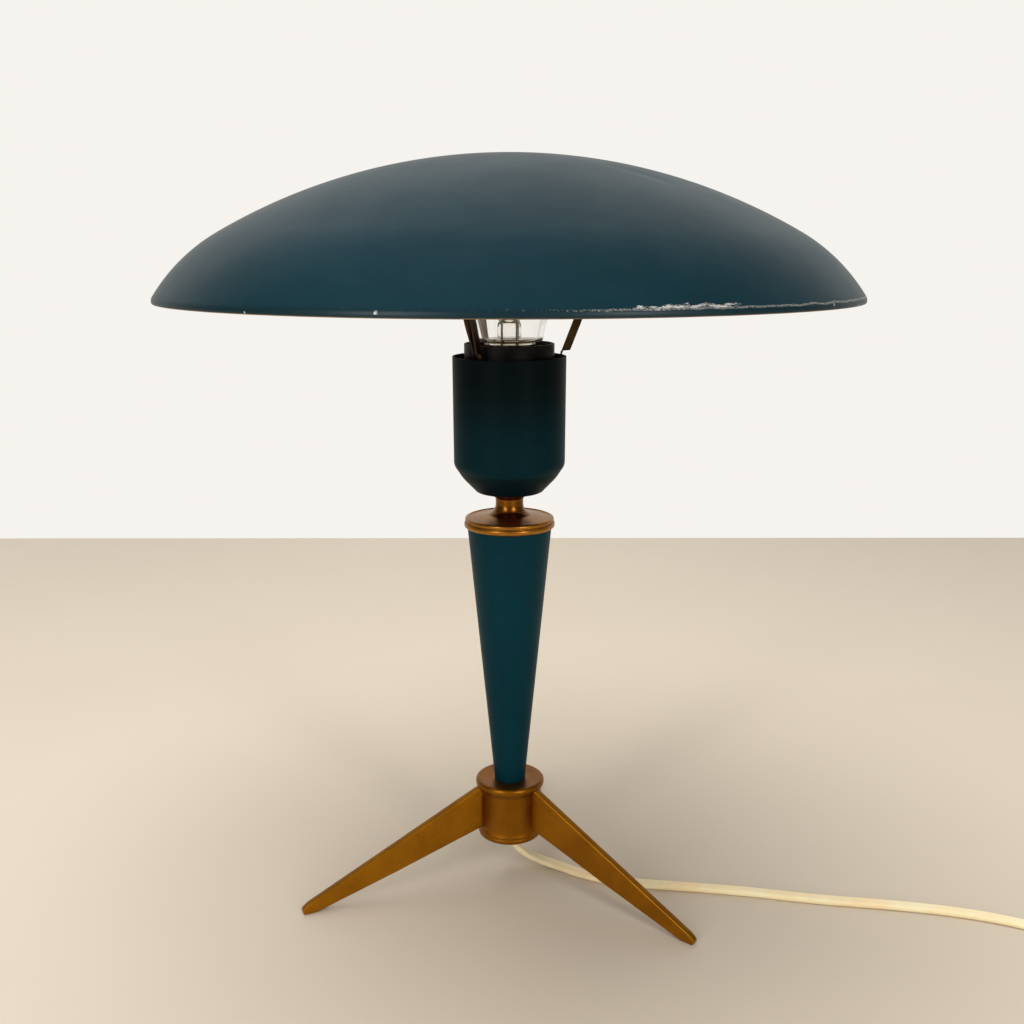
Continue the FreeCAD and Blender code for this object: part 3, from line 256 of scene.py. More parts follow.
class Graph:
    """A node tree that is written as nested calls."""

    def __init__(self, tree: bpy.types.NodeTree) -> None:
        """Start with an empty tree."""
        self.tree = tree
        tree.nodes.clear()

    def node(
        self, kind: str, settings: dict[str, object] | None = None, **inputs: object
    ) -> bpy.types.Node:
        """Add a node.

        Args:
            kind: the node's type without the ShaderNode prefix, or its full name.
            settings: properties of the node.
            **inputs: input names in snake case, or in_0, in_1 for inputs by number; a value is
                a socket to link or a constant.

        Returns:
            The new node.
        """
        full = kind if kind.startswith("Node") else "ShaderNode" + kind
        made = self.tree.nodes.new(full)
        for key, value in (settings or {}).items():
            setattr(made, key, value)
        for key, value in inputs.items():
            place = int(key[3:]) if key.startswith("in_") else key.replace("_", " ")
            self.feed(made.inputs[place] if isinstance(place, int) else self.named(made, place), value)
        return made

    def feed(self, socket: bpy.types.NodeSocket, value: object) -> None:
        """Link an input to a socket, or set it to a constant."""
        if isinstance(value, bpy.types.NodeSocket):
            self.tree.links.new(value, socket)
        elif socket.type == "RGBA" and len(value) == 3:
            socket.default_value = (*value, 1.0)
        else:
            socket.default_value = value

    @staticmethod
    def named(made: bpy.types.Node, name: str) -> bpy.types.NodeSocket:
        """The input whose name matches, whatever the case of its letters."""
        return next(s for s in made.inputs if s.name.lower() == name.lower() and s.enabled)

    def math(self, operation: str, a: object, b: object = 0.0) -> bpy.types.NodeSocket:
        """One arithmetic step."""
        return self.node("Math", {"operation": operation}, in_0=a, in_1=b).outputs[0]

    def plus(self, a: object, b: object) -> bpy.types.NodeSocket:
        """The sum of two values."""
        return self.math("ADD", a, b)

    def minus(self, a: object, b: object) -> bpy.types.NodeSocket:
        """The first value less the second."""
        return self.math("SUBTRACT", a, b)

    def times(self, a: object, b: object) -> bpy.types.NodeSocket:
        """The product of two values."""
        return self.math("MULTIPLY", a, b)

    def rest(self, a: object) -> bpy.types.NodeSocket:
        """What a mask leaves: 1 less its value."""
        return self.math("SUBTRACT", 1.0, a)

    def larger(self, a: object, b: object) -> bpy.types.NodeSocket:
        """The larger of two values."""
        return self.math("MAXIMUM", a, b)

    def ramp(self, value: object, low: object, high: object) -> bpy.types.NodeSocket:
        """0 below low, 1 above high, and eased between them."""
        kind = {"interpolation_type": "SMOOTHSTEP"}
        return self.node("MapRange", kind, in_0=value, in_1=low, in_2=high).outputs[0]

    def mix(self, factor: object, a: object, b: object) -> bpy.types.NodeSocket:
        """A blend of two colours."""
        made = self.node("Mix", {"data_type": "RGBA"}, in_0=factor, in_6=a, in_7=b)
        return made.outputs[2]

    def noise(
        self, vector: object, scale: object, detail: float = 3.0, rough: float = 0.55
    ) -> bpy.types.NodeSocket:
        """Fractal noise from 0 to 1 over a place."""
        made = self.node("TexNoise", None, vector=vector, scale=scale, detail=detail, roughness=rough)
        return made.outputs[0]

    def noise_along(
        self, value: object, scale: float, detail: float = 3.0, rough: float = 0.5
    ) -> bpy.types.NodeSocket:
        """Fractal noise from 0 to 1 along a single value."""
        kind = {"noise_dimensions": "1D"}
        made = self.node("TexNoise", kind, w=value, scale=scale, detail=detail, roughness=rough)
        return made.outputs[0]

    def split(self, vector: object) -> tuple[bpy.types.NodeSocket, ...]:
        """The x, y and z of a vector."""
        return tuple(self.node("SeparateXYZ", None, in_0=vector).outputs)


class GroupMaker:
    """Makes each shared effect once, as a node group with named inputs and outputs."""

    @staticmethod
    def start(
        name: str, inputs: dict[str, str], outputs: dict[str, str]
    ) -> tuple[Graph, bpy.types.bpy_prop_collection]:
        """A new group, as its graph and what its inputs give."""
        tree = bpy.data.node_groups.new(name, "ShaderNodeTree")
        for way, sockets in (("INPUT", inputs), ("OUTPUT", outputs)):
            for label, kind in sockets.items():
                tree.interface.new_socket(label, in_out=way, socket_type="NodeSocket" + kind)
        graph = Graph(tree)
        return graph, graph.node("NodeGroupInput").outputs

    @staticmethod
    @cache
    def mottle() -> bpy.types.NodeTree:
        """Cloudy variation between two colours, with fine grain in it."""
        g, i = GroupMaker.start(
            "mottle",
            {"Vector": "Vector", "Light": "Color", "Dark": "Color", "Scale": "Float", "Grain": "Float"},
            {"Color": "Color", "Value": "Float"},
        )
        cloud = g.noise(i["Vector"], i["Scale"], 4.0)
        fine = g.noise(i["Vector"], g.times(i["Scale"], 14.0), 2.0)
        swing = g.times(g.minus(fine, 0.5), i["Grain"])
        value = g.ramp(g.plus(cloud, swing), 0.32, 0.68)
        colour = g.mix(value, i["Light"], i["Dark"])
        g.node("NodeGroupOutput", None, Color=colour, Value=value)
        return g.tree

    @staticmethod
    @cache
    def turning() -> bpy.types.NodeTree:
        """Fine rings round the Z axis, as a lathe or a spinning tool leaves them."""
        g, i = GroupMaker.start(
            "turning", {"Vector": "Vector", "Rings": "Float", "Waver": "Float"}, {"Height": "Float"}
        )
        at = g.split(i["Vector"])
        flat = g.node("CombineXYZ", None, in_0=at[0], in_1=at[1], in_2=0.0)
        radius = g.node("VectorMath", {"operation": "LENGTH"}, in_0=flat.outputs[0]).outputs["Value"]
        run = g.plus(g.times(radius, 0.83), at[2])
        slow = g.noise(i["Vector"], 30.0, 1.0)
        along = g.plus(g.times(run, i["Rings"]), g.times(slow, i["Waver"]))
        g.node("NodeGroupOutput", None, Height=g.noise_along(along, 1.0, 3.0, 0.7))
        return g.tree

    @staticmethod
    @cache
    def specks() -> bpy.types.NodeTree:
        """Sparse small marks, each a worn or dusty dot of irregular outline."""
        g, i = GroupMaker.start(
            "specks",
            {"Vector": "Vector", "Scale": "Float", "Share": "Float", "Size": "Float"},
            {"Mask": "Float"},
        )
        finer = g.times(i["Scale"], 3.0)
        warp = g.node("TexNoise", None, vector=i["Vector"], scale=finer)
        bent = g.node(
            "VectorMath", {"operation": "MULTIPLY_ADD"},
            in_0=warp.outputs[1], in_1=(0.0012, 0.0012, 0.0012), in_2=i["Vector"],
        )
        cells = g.node("TexVoronoi", None, vector=bent.outputs[0], scale=i["Scale"])
        chosen = g.node("SeparateColor", None, in_0=cells.outputs["Color"])
        picked = g.math("LESS_THAN", chosen.outputs[0], i["Share"])
        size = g.times(i["Size"], g.plus(chosen.outputs[1], 0.25))
        near = g.rest(g.ramp(cells.outputs["Distance"], g.times(size, 0.6), size))
        g.node("NodeGroupOutput", None, Mask=g.times(near, picked))
        return g.tree

    @staticmethod
    @cache
    def dust() -> bpy.types.NodeTree:
        """Thin dust that lies on faces which look up, thicker in patches."""
        g, i = GroupMaker.start("dust", {"Vector": "Vector", "Amount": "Float"}, {"Mask": "Float"})
        normal = g.node("NewGeometry").outputs["Normal"]
        up = g.ramp(g.split(normal)[2], 0.35, 1.0)
        patch = g.ramp(g.noise(i["Vector"], 60.0, 5.0, 0.65), 0.3, 0.8)
        g.node("NodeGroupOutput", None, Mask=g.times(g.times(up, patch), i["Amount"]))
        return g.tree


class Paint:
    """The common start of every finish: a material, its shader and the object's coordinates."""

    def __init__(self, name: str) -> None:
        """Make the material with an empty tree and one shader."""
        self.material = bpy.data.materials.new(name)
        self.material.use_nodes = True
        self.g = Graph(self.material.node_tree)
        self.shader = self.g.node("BsdfPrincipled")
        out = self.g.node("OutputMaterial")
        self.g.tree.links.new(self.shader.outputs[0], out.inputs[0])
        self.place = self.g.node("TexCoord").outputs["Object"]

    def group(self, tree: bpy.types.NodeTree, **inputs: object) -> bpy.types.Node:
        """Place a shared effect with its own values."""
        return self.g.node("Group", {"node_tree": tree}, Vector=self.place, **inputs)

    def put(self, **values: object) -> None:
        """Link or set the shader's own sockets, named in snake case."""
        for key, value in values.items():
            self.g.feed(Graph.named(self.shader, key.replace("_", " ")), value)

    def bump(self, height: object, distance: float, strength: float = 1.0) -> None:
        """Raise the surface by a height from 0 to 1 times the distance, in metres."""
        raised = self.g.node("Bump", None, height=height, distance=distance, strength=strength)
        self.put(normal=raised.outputs[0])


@dataclass(frozen=True)
class Enamel:
    """Satin stoving enamel on spun sheet, with faint spinning rings under it and small marks."""

    name: str
    light: Colour
    dark: Colour
    roughness: float = 0.42
    marks: float = 0.02
    shine: float = 0.5

    def base(self) -> tuple[Paint, bpy.types.NodeSocket, bpy.types.NodeSocket]:
        """The paint, its colour and its relief, before anything is worn off it."""
        p = Paint(self.name)
        cloud = p.group(GroupMaker.mottle(), Light=self.light, Dark=self.dark, Scale=9.0, Grain=0.25)
        rings = p.group(GroupMaker.turning(), Rings=420.0, Waver=0.8).outputs[0]
        peel = p.g.noise(p.place, 900.0, 2.0)
        relief = p.g.plus(p.g.times(rings, 0.55), p.g.times(peel, 0.45))
        return p, cloud.outputs[0], relief

    def material(self) -> bpy.types.Material:
        """Enamel with specks where it is nicked, and dust on top."""
        p, colour, relief = self.base()
        nick = p.group(GroupMaker.specks(), Scale=55.0, Share=self.marks, Size=0.07).outputs[0]
        dusty = p.group(GroupMaker.dust(), Amount=0.05).outputs[0]
        colour = p.g.mix(dusty, colour, srgb(150, 152, 148))
        colour = p.g.mix(nick, colour, srgb(120, 135, 138))
        rough = p.g.plus(self.roughness, p.g.times(p.g.noise(p.place, 40.0), 0.10))
        p.put(base_color=colour, roughness=rough, specular_ior_level=self.shine)
        p.bump(relief, 0.00003)
        return p.material


@dataclass(frozen=True)
class CupEnamel(Enamel):
    """The cup's enamel with painted shade: painted shadow darkens it towards its rim, and painted shade
    darkens its underside.
    """

    # Painted shadow deepens from the first height to the second; painted shade lies below the third.
    shadow_start: float = 0.247
    shadow_full: float = 0.283
    under: float = 0.2335
    painted_shade_strength: float = 0.8

    def base(self) -> tuple[Paint, bpy.types.NodeSocket, bpy.types.NodeSocket]:
        """The plain enamel, mixed with near black by height: painted shadow towards the rim, painted
        shade underneath.
        """
        p, colour, relief = super().base()
        height = p.g.split(p.place)[2]
        # Painted shade and shadow: near black on the underside, and rising towards the rim.
        underside_shade = p.g.rest(p.g.ramp(height, self.under - 0.002, self.under + 0.001))
        dark = p.g.larger(p.g.ramp(height, self.shadow_start, self.shadow_full), p.g.times(underside_shade, 0.8))
        return p, p.g.mix(p.g.times(dark, self.painted_shade_strength), colour, srgb(2, 5, 6)), relief


@dataclass(frozen=True)
class ShadeEnamel(Enamel):
    """The shade's enamel: chipped to bright metal along the rim, with light scuffs on the dome."""

    rim: float = 0.322
    chip_from: float = 13.5
    chip_to: float = 32.0
    scrape_height: float = 2.6
    line_height: float = 2.5

    def chips(self, p: Paint) -> bpy.types.NodeSocket:
        """Where the paint is gone: a ragged scrape at the front right, a broken line and dots.

        All of it is placed by the height over the rim, in millimetres, and by the turn from the
        front to the right, in degrees; the noise is drawn out along the rim.
        """
        g = p.g
        at = g.split(p.place)
        height = g.times(g.minus(at[2], self.rim), 1 / MM)
        front = g.times(at[1], -1.0)
        turn = g.times(g.math("ARCTAN2", at[0], front), math.degrees(1.0))
        drawn = g.node("CombineXYZ", None, in_0=g.times(turn, 0.9), in_1=g.times(height, 1.5)).outputs[0]
        wave = g.noise_along(turn, 0.3)
        dots = p.group(GroupMaker.specks(), Scale=330.0, Share=0.12, Size=0.30).outputs[0]
        dots = g.times(dots, g.rest(g.ramp(height, 1.5, 4.0)))
        where = (height, turn, drawn, wave)
        marks = g.larger(g.times(self.broken_line(g, *where), 0.85), g.times(dots, 0.7))
        return g.larger(self.scrape(g, *where), marks)

    def scrape(
        self, g: Graph, height: object, turn: object, drawn: object, wave: object
    ) -> bpy.types.NodeSocket:
        """Where fractal noise passes a level, within a wavy strip.

        The level falls towards the strip's middle line, and further within the scrape's turn.
        """
        ragged = g.noise(drawn, 0.8, 8.0, 0.8)
        middle = g.plus(self.scrape_height, g.times(wave, 2.8))
        band = g.rest(g.ramp(g.math("ABSOLUTE", g.minus(height, middle)), 0.3, 1.5))
        near = g.times(
            g.ramp(turn, self.chip_from, self.chip_from + 3.0),
            g.rest(g.ramp(turn, self.chip_to - 2.0, self.chip_to + 1.0)),
        )
        worn = g.plus(g.times(near, 0.27), 0.03)
        level = g.minus(0.76, g.times(band, worn))
        return g.times(g.ramp(ragged, level, g.plus(level, 0.04)), g.ramp(band, 0.02, 0.2))

    def broken_line(
        self, g: Graph, height: object, turn: object, drawn: object, wave: object
    ) -> bpy.types.NodeSocket:
        """A thin line along the rim, where finer noise passes a level that is lowest at the right."""
        fine = g.noise(drawn, 3.2, 4.0, 0.7)
        middle = g.plus(self.line_height, g.times(wave, 1.2))
        thread = g.rest(g.ramp(g.math("ABSOLUTE", g.minus(height, middle)), 0.1, 0.55))
        often = g.times(g.ramp(turn, 0.0, 14.0), g.rest(g.ramp(turn, 84.0, 96.0)))
        level = g.minus(0.64, g.times(often, 0.15))
        return g.times(thread, g.ramp(fine, level, g.plus(level, 0.05)))

    def material(self) -> bpy.types.Material:
        """Teal outside with bare metal in the chips, pale scuffs, a little dust on the crown and a band
        of painted shade just above the rim.
        """
        p, colour, relief = self.base()
        g = p.g
        chips = self.chips(p)
        nick = p.group(GroupMaker.specks(), Scale=32.0, Share=0.035, Size=0.035).outputs[0]
        scuff = p.group(GroupMaker.specks(), Scale=14.0, Share=0.05, Size=0.05).outputs[0]
        dusty = p.group(GroupMaker.dust(), Amount=0.025).outputs[0]
        colour = g.mix(dusty, colour, srgb(140, 148, 148))
        colour = g.mix(g.times(scuff, 0.25), colour, srgb(20, 30, 34))
        colour = g.mix(g.times(nick, 0.8), colour, srgb(150, 160, 162))
        at = g.split(p.place)
        # Painted shade: a darker band just above the rim, where the rolled lip faces down.
        low = g.rest(g.ramp(at[2], self.rim + 0.0028, self.rim + 0.0044))
        colour = g.mix(g.times(low, 0.8), colour, srgb(2, 38, 45))
        metal = g.mix(g.noise(p.place, 700.0), srgb(238, 238, 234), srgb(186, 183, 178))
        colour = g.mix(chips, colour, metal)
        rough = g.plus(self.roughness, g.times(g.noise(p.place, 26.0, 5.0), 0.12))
        bare = g.times(chips, 0.45)
        p.put(base_color=colour, roughness=rough, metallic=bare, specular_ior_level=self.shine)
        p.bump(g.minus(g.times(relief, 0.5), g.times(chips, 3.0)), 0.00005)
        return p.material


@dataclass(frozen=True)
class Brass:
    """Lacquered brass: turned or rolled, and browned in places."""

    name: str
    light: Colour
    dark: Colour
    roughness: float = 0.34
    rings: float = 900.0
    grain: float = 0.00002
    patina: Colour = (0.03, 0.012, 0.003)
    tarnish: float = 0.35
    lacquer: float = 0.15

    def material(self) -> bpy.types.Material:
        """Metal whose colour, gloss and relief all vary a little."""
        p = Paint(self.name)
        g = p.g
        cloud = p.group(GroupMaker.mottle(), Light=self.light, Dark=self.dark, Scale=45.0, Grain=0.25)
        spots = g.ramp(g.noise(p.place, 230.0, 5.0, 0.7), 0.56, 0.74)
        colour = g.mix(g.times(spots, self.tarnish), cloud.outputs[0], self.patina)
        nick = p.group(GroupMaker.specks(), Scale=240.0, Share=0.05, Size=0.12).outputs[0]
        colour = g.mix(nick, colour, self.patina)
        rings = p.group(GroupMaker.turning(), Rings=self.rings, Waver=1.2).outputs[0]
        rough = g.plus(self.roughness, g.times(g.plus(spots, rings), 0.09))
        p.put(base_color=colour, metallic=1.0, roughness=rough)
        p.put(coat_weight=self.lacquer, coat_roughness=0.3)
        p.bump(rings, self.grain)
        return p.material


@dataclass(frozen=True)
class Moulded:
    """A moulded or extruded piece, plastic or rubber, with a fine surface and faint handling marks."""

    name: str
    light: Colour
    dark: Colour
    roughness: float = 0.35
    relief: float = 0.00002
    scale: float = 1400.0
    subsurface: float = 0.0
    shine: float = 0.5

    def material(self) -> bpy.types.Material:
        """The colour drifts slowly, and the surface has a fine texture."""
        p = Paint(self.name)
        g = p.g
        cloud = p.group(GroupMaker.mottle(), Light=self.light, Dark=self.dark, Scale=28.0, Grain=0.3)
        dusty = p.group(GroupMaker.dust(), Amount=0.08).outputs[0]
        colour = g.mix(dusty, cloud.outputs[0], srgb(150, 140, 122))
        rough = g.plus(self.roughness, g.times(g.noise(p.place, 70.0, 4.0), 0.16))
        p.put(base_color=colour, roughness=rough, specular_ior_level=self.shine)
        p.put(subsurface_weight=self.subsurface, subsurface_scale=0.002)
        p.bump(g.noise(p.place, self.scale, 3.0), self.relief)
        return p.material


@dataclass(frozen=True)
class Glass:
    """Thin clear lamp glass, faintly uneven."""

    name: str
    tint: Colour = (0.985, 0.99, 0.985)

    def material(self) -> bpy.types.Material:
        """Clear glass with a slow wave in its surface."""
        p = Paint(self.name)
        p.put(base_color=self.tint, roughness=0.02, transmission_weight=1.0, ior=1.46)
        p.bump(p.g.noise(p.place, 45.0, 2.0), 0.0002, 0.35)
        return p.material


class Finishes:
    """Every finish of the lamp, each made once."""

    def __init__(self) -> None:
        """Build the materials."""
        self.teal_shade = ShadeEnamel(
            "shade_enamel", srgb(5, 44, 54), srgb(4, 39, 48), roughness=0.33, shine=0.3
        ).material()
        self.teal = Enamel("teal_enamel", srgb(2, 50, 60), srgb(2, 44, 54), 0.38, shine=0.06).material()
        # The cup's teal is a darker copy of the stem's teal, as painted shade; CupEnamel adds more
        # painted shade by height.
        self.shaded_cup_teal = CupEnamel(
            "cup_enamel_shaded", srgb(1, 38, 46), srgb(1, 33, 40), 0.42, shine=0.05
        ).material()
        self.inside = Moulded("shade_inside", srgb(226, 222, 208), srgb(212, 206, 190), 0.5).material()
        self.cut_edge = Brass("cut_edge", srgb(150, 128, 104), srgb(110, 92, 74), 0.45).material()
        self.gold = Brass("hub_brass", srgb(150, 95, 6), srgb(130, 79, 4), 0.36, 500.0).material()
        self.leg_gold = Brass(
            "leg_brass", srgb(170, 111, 6), srgb(153, 97, 4), 0.38, 160.0, 0.00001, tarnish=0.12
        ).material()
        self.cap_brass = Brass(
            "turned_brass", srgb(176, 120, 40), srgb(142, 90, 24), 0.27, 1300.0
        ).material()
        # The neck's brass is a darker copy of the cap's turned brass, as painted shade under the cup.
        self.shaded_neck_brass = Brass(
            "shaded_neck_brass", srgb(130, 80, 5), srgb(110, 64, 3), 0.24, 1300.0
        ).material()
        self.dark_brass = Brass(
            "browned_brass", srgb(78, 56, 30), srgb(44, 29, 14), 0.34, 300.0
        ).material()
        self.bright_brass = Brass(
            "fresh_brass", srgb(220, 184, 120), srgb(196, 156, 92), 0.24
        ).material()
        self.steel = Brass(
            "zinc_steel", srgb(190, 190, 186), srgb(160, 160, 156), 0.32, patina=srgb(90, 84, 76)
        ).material()
        self.black = Moulded(
            "black_phenolic", srgb(10, 9, 8), srgb(6, 5, 5), 0.36, shine=0.12
        ).material()
        self.fibre = Moulded("red_fibre", srgb(142, 84, 58), srgb(112, 62, 42), 0.7, 0.00008).material()
        self.flex = Moulded(
            "ivory_flex", srgb(253, 240, 197), srgb(253, 227, 178), 0.42, 0.00003, 900.0, 0.08
        ).material()
        self.ivory = Moulded("ivory_moulded", srgb(252, 237, 204), srgb(244, 225, 184), 0.3).material()
        self.core = Moulded("core_sleeve", srgb(60, 84, 128), srgb(46, 66, 108), 0.4).material()
        self.glass = Glass("lamp_glass").material()
        self.mount_glass = Glass("pale_stem_glass", (0.93, 0.90, 0.86)).material()


# ---- pieces -----------------------------------------------------------------------------


@dataclass
class Assembly:
    """What each sub-assembly shares: its finishes, and the ways to add and dress pieces."""

    finishes: Finishes
    body: ClassVar[Body] = Body.STAND

    def add(
        self,
        piece: bpy.types.Object,
        finish: bpy.types.Material,
        slot: str,
        nodes: Sequence[str],
        body: Body | None = None,
    ) -> bpy.types.Object:
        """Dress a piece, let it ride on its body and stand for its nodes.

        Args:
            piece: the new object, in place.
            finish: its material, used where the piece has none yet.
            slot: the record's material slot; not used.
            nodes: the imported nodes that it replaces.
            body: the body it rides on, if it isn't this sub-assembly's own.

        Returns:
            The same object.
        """
        if not piece.data.materials:
            piece.data.materials.append(finish)
        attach(piece, (body or self.body).value)
        if nodes:
            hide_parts(*nodes)
        LOG.info("%s stands for %s", piece.name, ", ".join(nodes) or "nothing")
        return piece

    def add_turned(
        self, name: str, profile: Array, finish: bpy.types.Material, slot: str, node: str
    ) -> None:
        """Add a hollow turned piece, given by the closed loop of its profile, in place of a node."""
        self.add(build(name, *turned(profile, True)), finish, slot, [node])

    def add_copy(
        self, name: str, node: str, finish: bpy.types.Material, slot: str, body: Body | None = None
    ) -> bpy.types.Object:
        """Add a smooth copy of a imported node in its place."""
        return self.add(self.smooth_copy(name, node), finish, slot, [node], body)

    def dress(self, finish: bpy.types.Material, *nodes: str) -> None:
        """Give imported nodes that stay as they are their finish."""
        for name in nodes:
            node = frame["nodes"][name]
            node.data.materials.clear()
            node.data.materials.append(finish)
            LOG.info("%s is dressed in %s", name, finish.name)

    def smooth_copy(self, name: str, node: str, sharp: float = 30.0) -> bpy.types.Object:
        """A welded, smooth-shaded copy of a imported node."""
        mesh = frame["nodes"][node].data.copy()
        mesh.materials.clear()
        smoothed(mesh, COPY_WELD, sharp)
        mesh.polygons.foreach_set("material_index", np.zeros(len(mesh.polygons), np.int32))
        return placed(name, mesh)


@dataclass
class HubShape:
    """The hub's turned outline, shared by the hub and the roots of the legs."""

    floor: float = 24.6 * MM
    top: float = 58.0 * MM
    barrel: float = 17.5 * MM
    lip: float = 19.0 * MM
    lip_depth: float = 3.2 * MM
    bead: float = 17.7 * MM
    bead_height: float = 3.3 * MM
    bore: float = 11.5 * MM
    web: float = 7.0 * MM
    dish: float = 0.7 * MM
    throat: float = 5.05 * MM
    stem_foot: float = 8.4 * MM

    def outside(self) -> list[tuple[float, ...]]:
        """Corners from the foot's bead up the hollow barrel to the rolled lip and the dished top."""
        b = self.barrel
        return [
            (self.bead - 0.4 * MM, self.floor, 0.8 * MM),
            (self.bead, self.floor + self.bead_height / 2, 1.6 * MM),
            (self.bead - 0.3 * MM, self.floor + self.bead_height - 0.5 * MM, 0.6 * MM),
            (b - 0.1 * MM, self.floor + self.bead_height, 0.15 * MM),
            (b + 0.5 * MM, self.floor + self.bead_height + 0.5 * MM, 0.3 * MM),
            (b, self.floor + self.bead_height + 2.6 * MM, 2.0 * MM),
            (b, self.top - self.lip_depth - 2.6 * MM, 3.0 * MM),
            (self.lip, self.top - self.lip_depth, 1.8 * MM),
            (self.lip, self.top, 1.7 * MM),
            (self.lip - 2.2 * MM, self.top, 0.6 * MM),
            (self.stem_foot + 0.6 * MM, self.top - self.dish, 0.4 * MM),
        ]

    def radius_at(self, height: Array) -> Array:
        """The outside radius at each height, read along the outline."""
        path = rounded(self.outside())
        rising = np.maximum.accumulate(path[:, 1])
        keep = np.concatenate([[True], np.diff(rising) > 1e-9])
        return np.interp(height, path[keep, 1], path[keep, 0])


@dataclass
class Stand(Assembly):
    """Hub, legs, stem, cap and neck."""

    hub: HubShape
    leg_azimuths: tuple[tuple[str, float], ...] = (
        ("leg_left", 202.2), ("leg_right", 322.2), ("leg_back", 82.2),
    )
    leg_reach: float = 120.2 * MM
    leg_thickness: float = 4.0 * MM
    leg_round: float = 0.8 * MM
    leg_root: float = 14.8 * MM
    root_zone: float = 14.0 * MM
    stem_low: float = 8.4 * MM
    stem_high: float = 22.45 * MM
    stem_wall: float = 1.1 * MM
    hub_spigot_gap: float = 0.25 * MM
    hub_spigot: float = 2.0 * MM
    cap_spigot_gap: float = 0.35 * MM
    cap_spigot: float = 3.0 * MM
    cap_height: float = 6.9 * MM
    cap_groove: float = 2.95 * MM
    cap_rim: float = 5.4 * MM
    cap_web: float = 4.4 * MM
    bead_radius: float = 24.1 * MM
    upper_bead: float = 23.6 * MM
    neck_foot: float = 9.3 * MM
    neck_edge: float = 0.7 * MM
    neck_waist: float = 7.34 * MM
    neck_slope: float = 24.0
    tube_bore: float = 5.05 * MM
    tube_depth: float = 8.2 * MM
    ball: float = 11.0 * MM
    bore: float = 3.9 * MM

    def make(self) -> None:
        """Build and dress every piece of the stand."""
        self.make_hub()
        self.make_legs()
        self.make_stem()
        self.make_cap()
        self.make_neck()
        f = self.finishes
        self.dress(f.steel, "hub_washer", "hub_nut", "leg_screws", "through_tube")
        self.dress(f.gold, "hub_base_plate")

    def make_hub(self) -> None:
        """A turned ring: the outline outside, then the throat, the web and the bore inside."""
        h = self.hub
        seat = h.top - h.dish
        spigot = self.stem_low - self.stem_wall - self.hub_spigot_gap
        inside = [
            (spigot, seat, 0.2 * MM),
            (spigot, seat + self.hub_spigot, 0.3 * MM),
            (h.throat, seat + self.hub_spigot, 0.1 * MM),
            (h.throat, h.top - h.web),
            (h.bore, h.top - h.web, 0.4 * MM),
            (h.bore, h.floor, 0.3 * MM),
        ]
        path = rounded(h.outside() + inside, closed=True)
        self.add_turned("hub_turned", path, self.finishes.gold, "gold_brass", "hub_body")

    def leg_outline(self, count: int = 90) -> tuple[Array, Array]:
        """The upper and lower edge of a leg, (rho, z), paired from the root to the nose.

        Both edges are straight for most of their length; the upper turns down over the nose and
        the lower runs out into the flat foot. Steps get shorter towards the nose.
        """
        h = self.hub
        root, tip = self.leg_root, self.leg_reach
        nose = (tip - 0.4 * MM, 1.3 * MM)
        upper = rounded([
            (root, h.top - 1.0 * MM), (tip - 3.4 * MM, 5.6 * MM, 6.0 * MM), (tip, 2.7 * MM, 2.2 * MM),
            nose,
        ])
        lower = rounded([
            (root, h.floor + 7.2 * MM), (root + 52 * MM, 14.4 * MM, 200 * MM),
            (tip - 7.6 * MM, 0.0, 14.0 * MM), (tip - 1.2 * MM, 0.0, 1.2 * MM), nose,
        ])
        share = 1 - (1 - np.linspace(0, 1, count)) ** 1.6
        return self.resampled(upper, share), self.resampled(lower, share)

    @staticmethod
    def resampled(path: Array, share: Array) -> Array:
        """Points of the path at the given shares of its length."""
        run = np.concatenate([[0], np.cumsum(np.linalg.norm(np.diff(path, axis=0), axis=1))])
        return np.stack([np.interp(share * run[-1], run, path[:, k]) for k in range(2)], 1)

    def leg_surface(self) -> tuple[Array, Array]:
        """A blade along +X with rounded long edges, fitted to the hub at its root.

        Round a section, the point at share v from the upper to the lower edge is drawn in from
        the edges by q (1 - cos t) while it moves out to the side by q sin t, with t from 0 to 90
        degrees at each edge. Near the root every lengthwise line starts on the hub, at
        x = sqrt(R(z)^2 - y^2), and the stations up to the root zone's end are spread from there.
        """
        upper, lower = self.leg_outline()
        height = np.linalg.norm(upper - lower, axis=1)[:, None]
        q = np.minimum(self.leg_round, height * 0.42)
        t = np.linspace(0, math.pi / 2, 6)
        inner = np.linspace(0, 1, 14)[1:-1]
        near = q * (1 - np.cos(t)) / height
        last = near[:, -1:]
        shares = np.concatenate([near, last + (1 - 2 * last) * inner, 1 - near[:, ::-1]], 1)
        out = np.concatenate([np.sin(t), np.ones(len(inner)), np.sin(t)[::-1]])
        y = self.leg_thickness / 2 - self.leg_round * (1 - out)
        at = upper[:, None] + (lower - upper)[:, None] * shares[..., None]
        at[:, :, 0], at[:, :, 1] = self.fitted(at, y)
        side = np.stack([at[..., 0], np.broadcast_to(y, shares.shape), at[..., 1]], -1)
        ring = np.concatenate([side, side[:, ::-1] * np.array([1, -1, 1])], 1)
        cols = ring.shape[1]
        parts = [(ring.reshape(-1, 3), grid_faces(len(ring), cols, False, True))]
        for row in (ring[0], ring[-1]):
            middle = np.broadcast_to(row.mean(0), row.shape)
            parts.append((np.concatenate([row, middle]), grid_faces(2, cols, False, True)))
        return joined(parts)

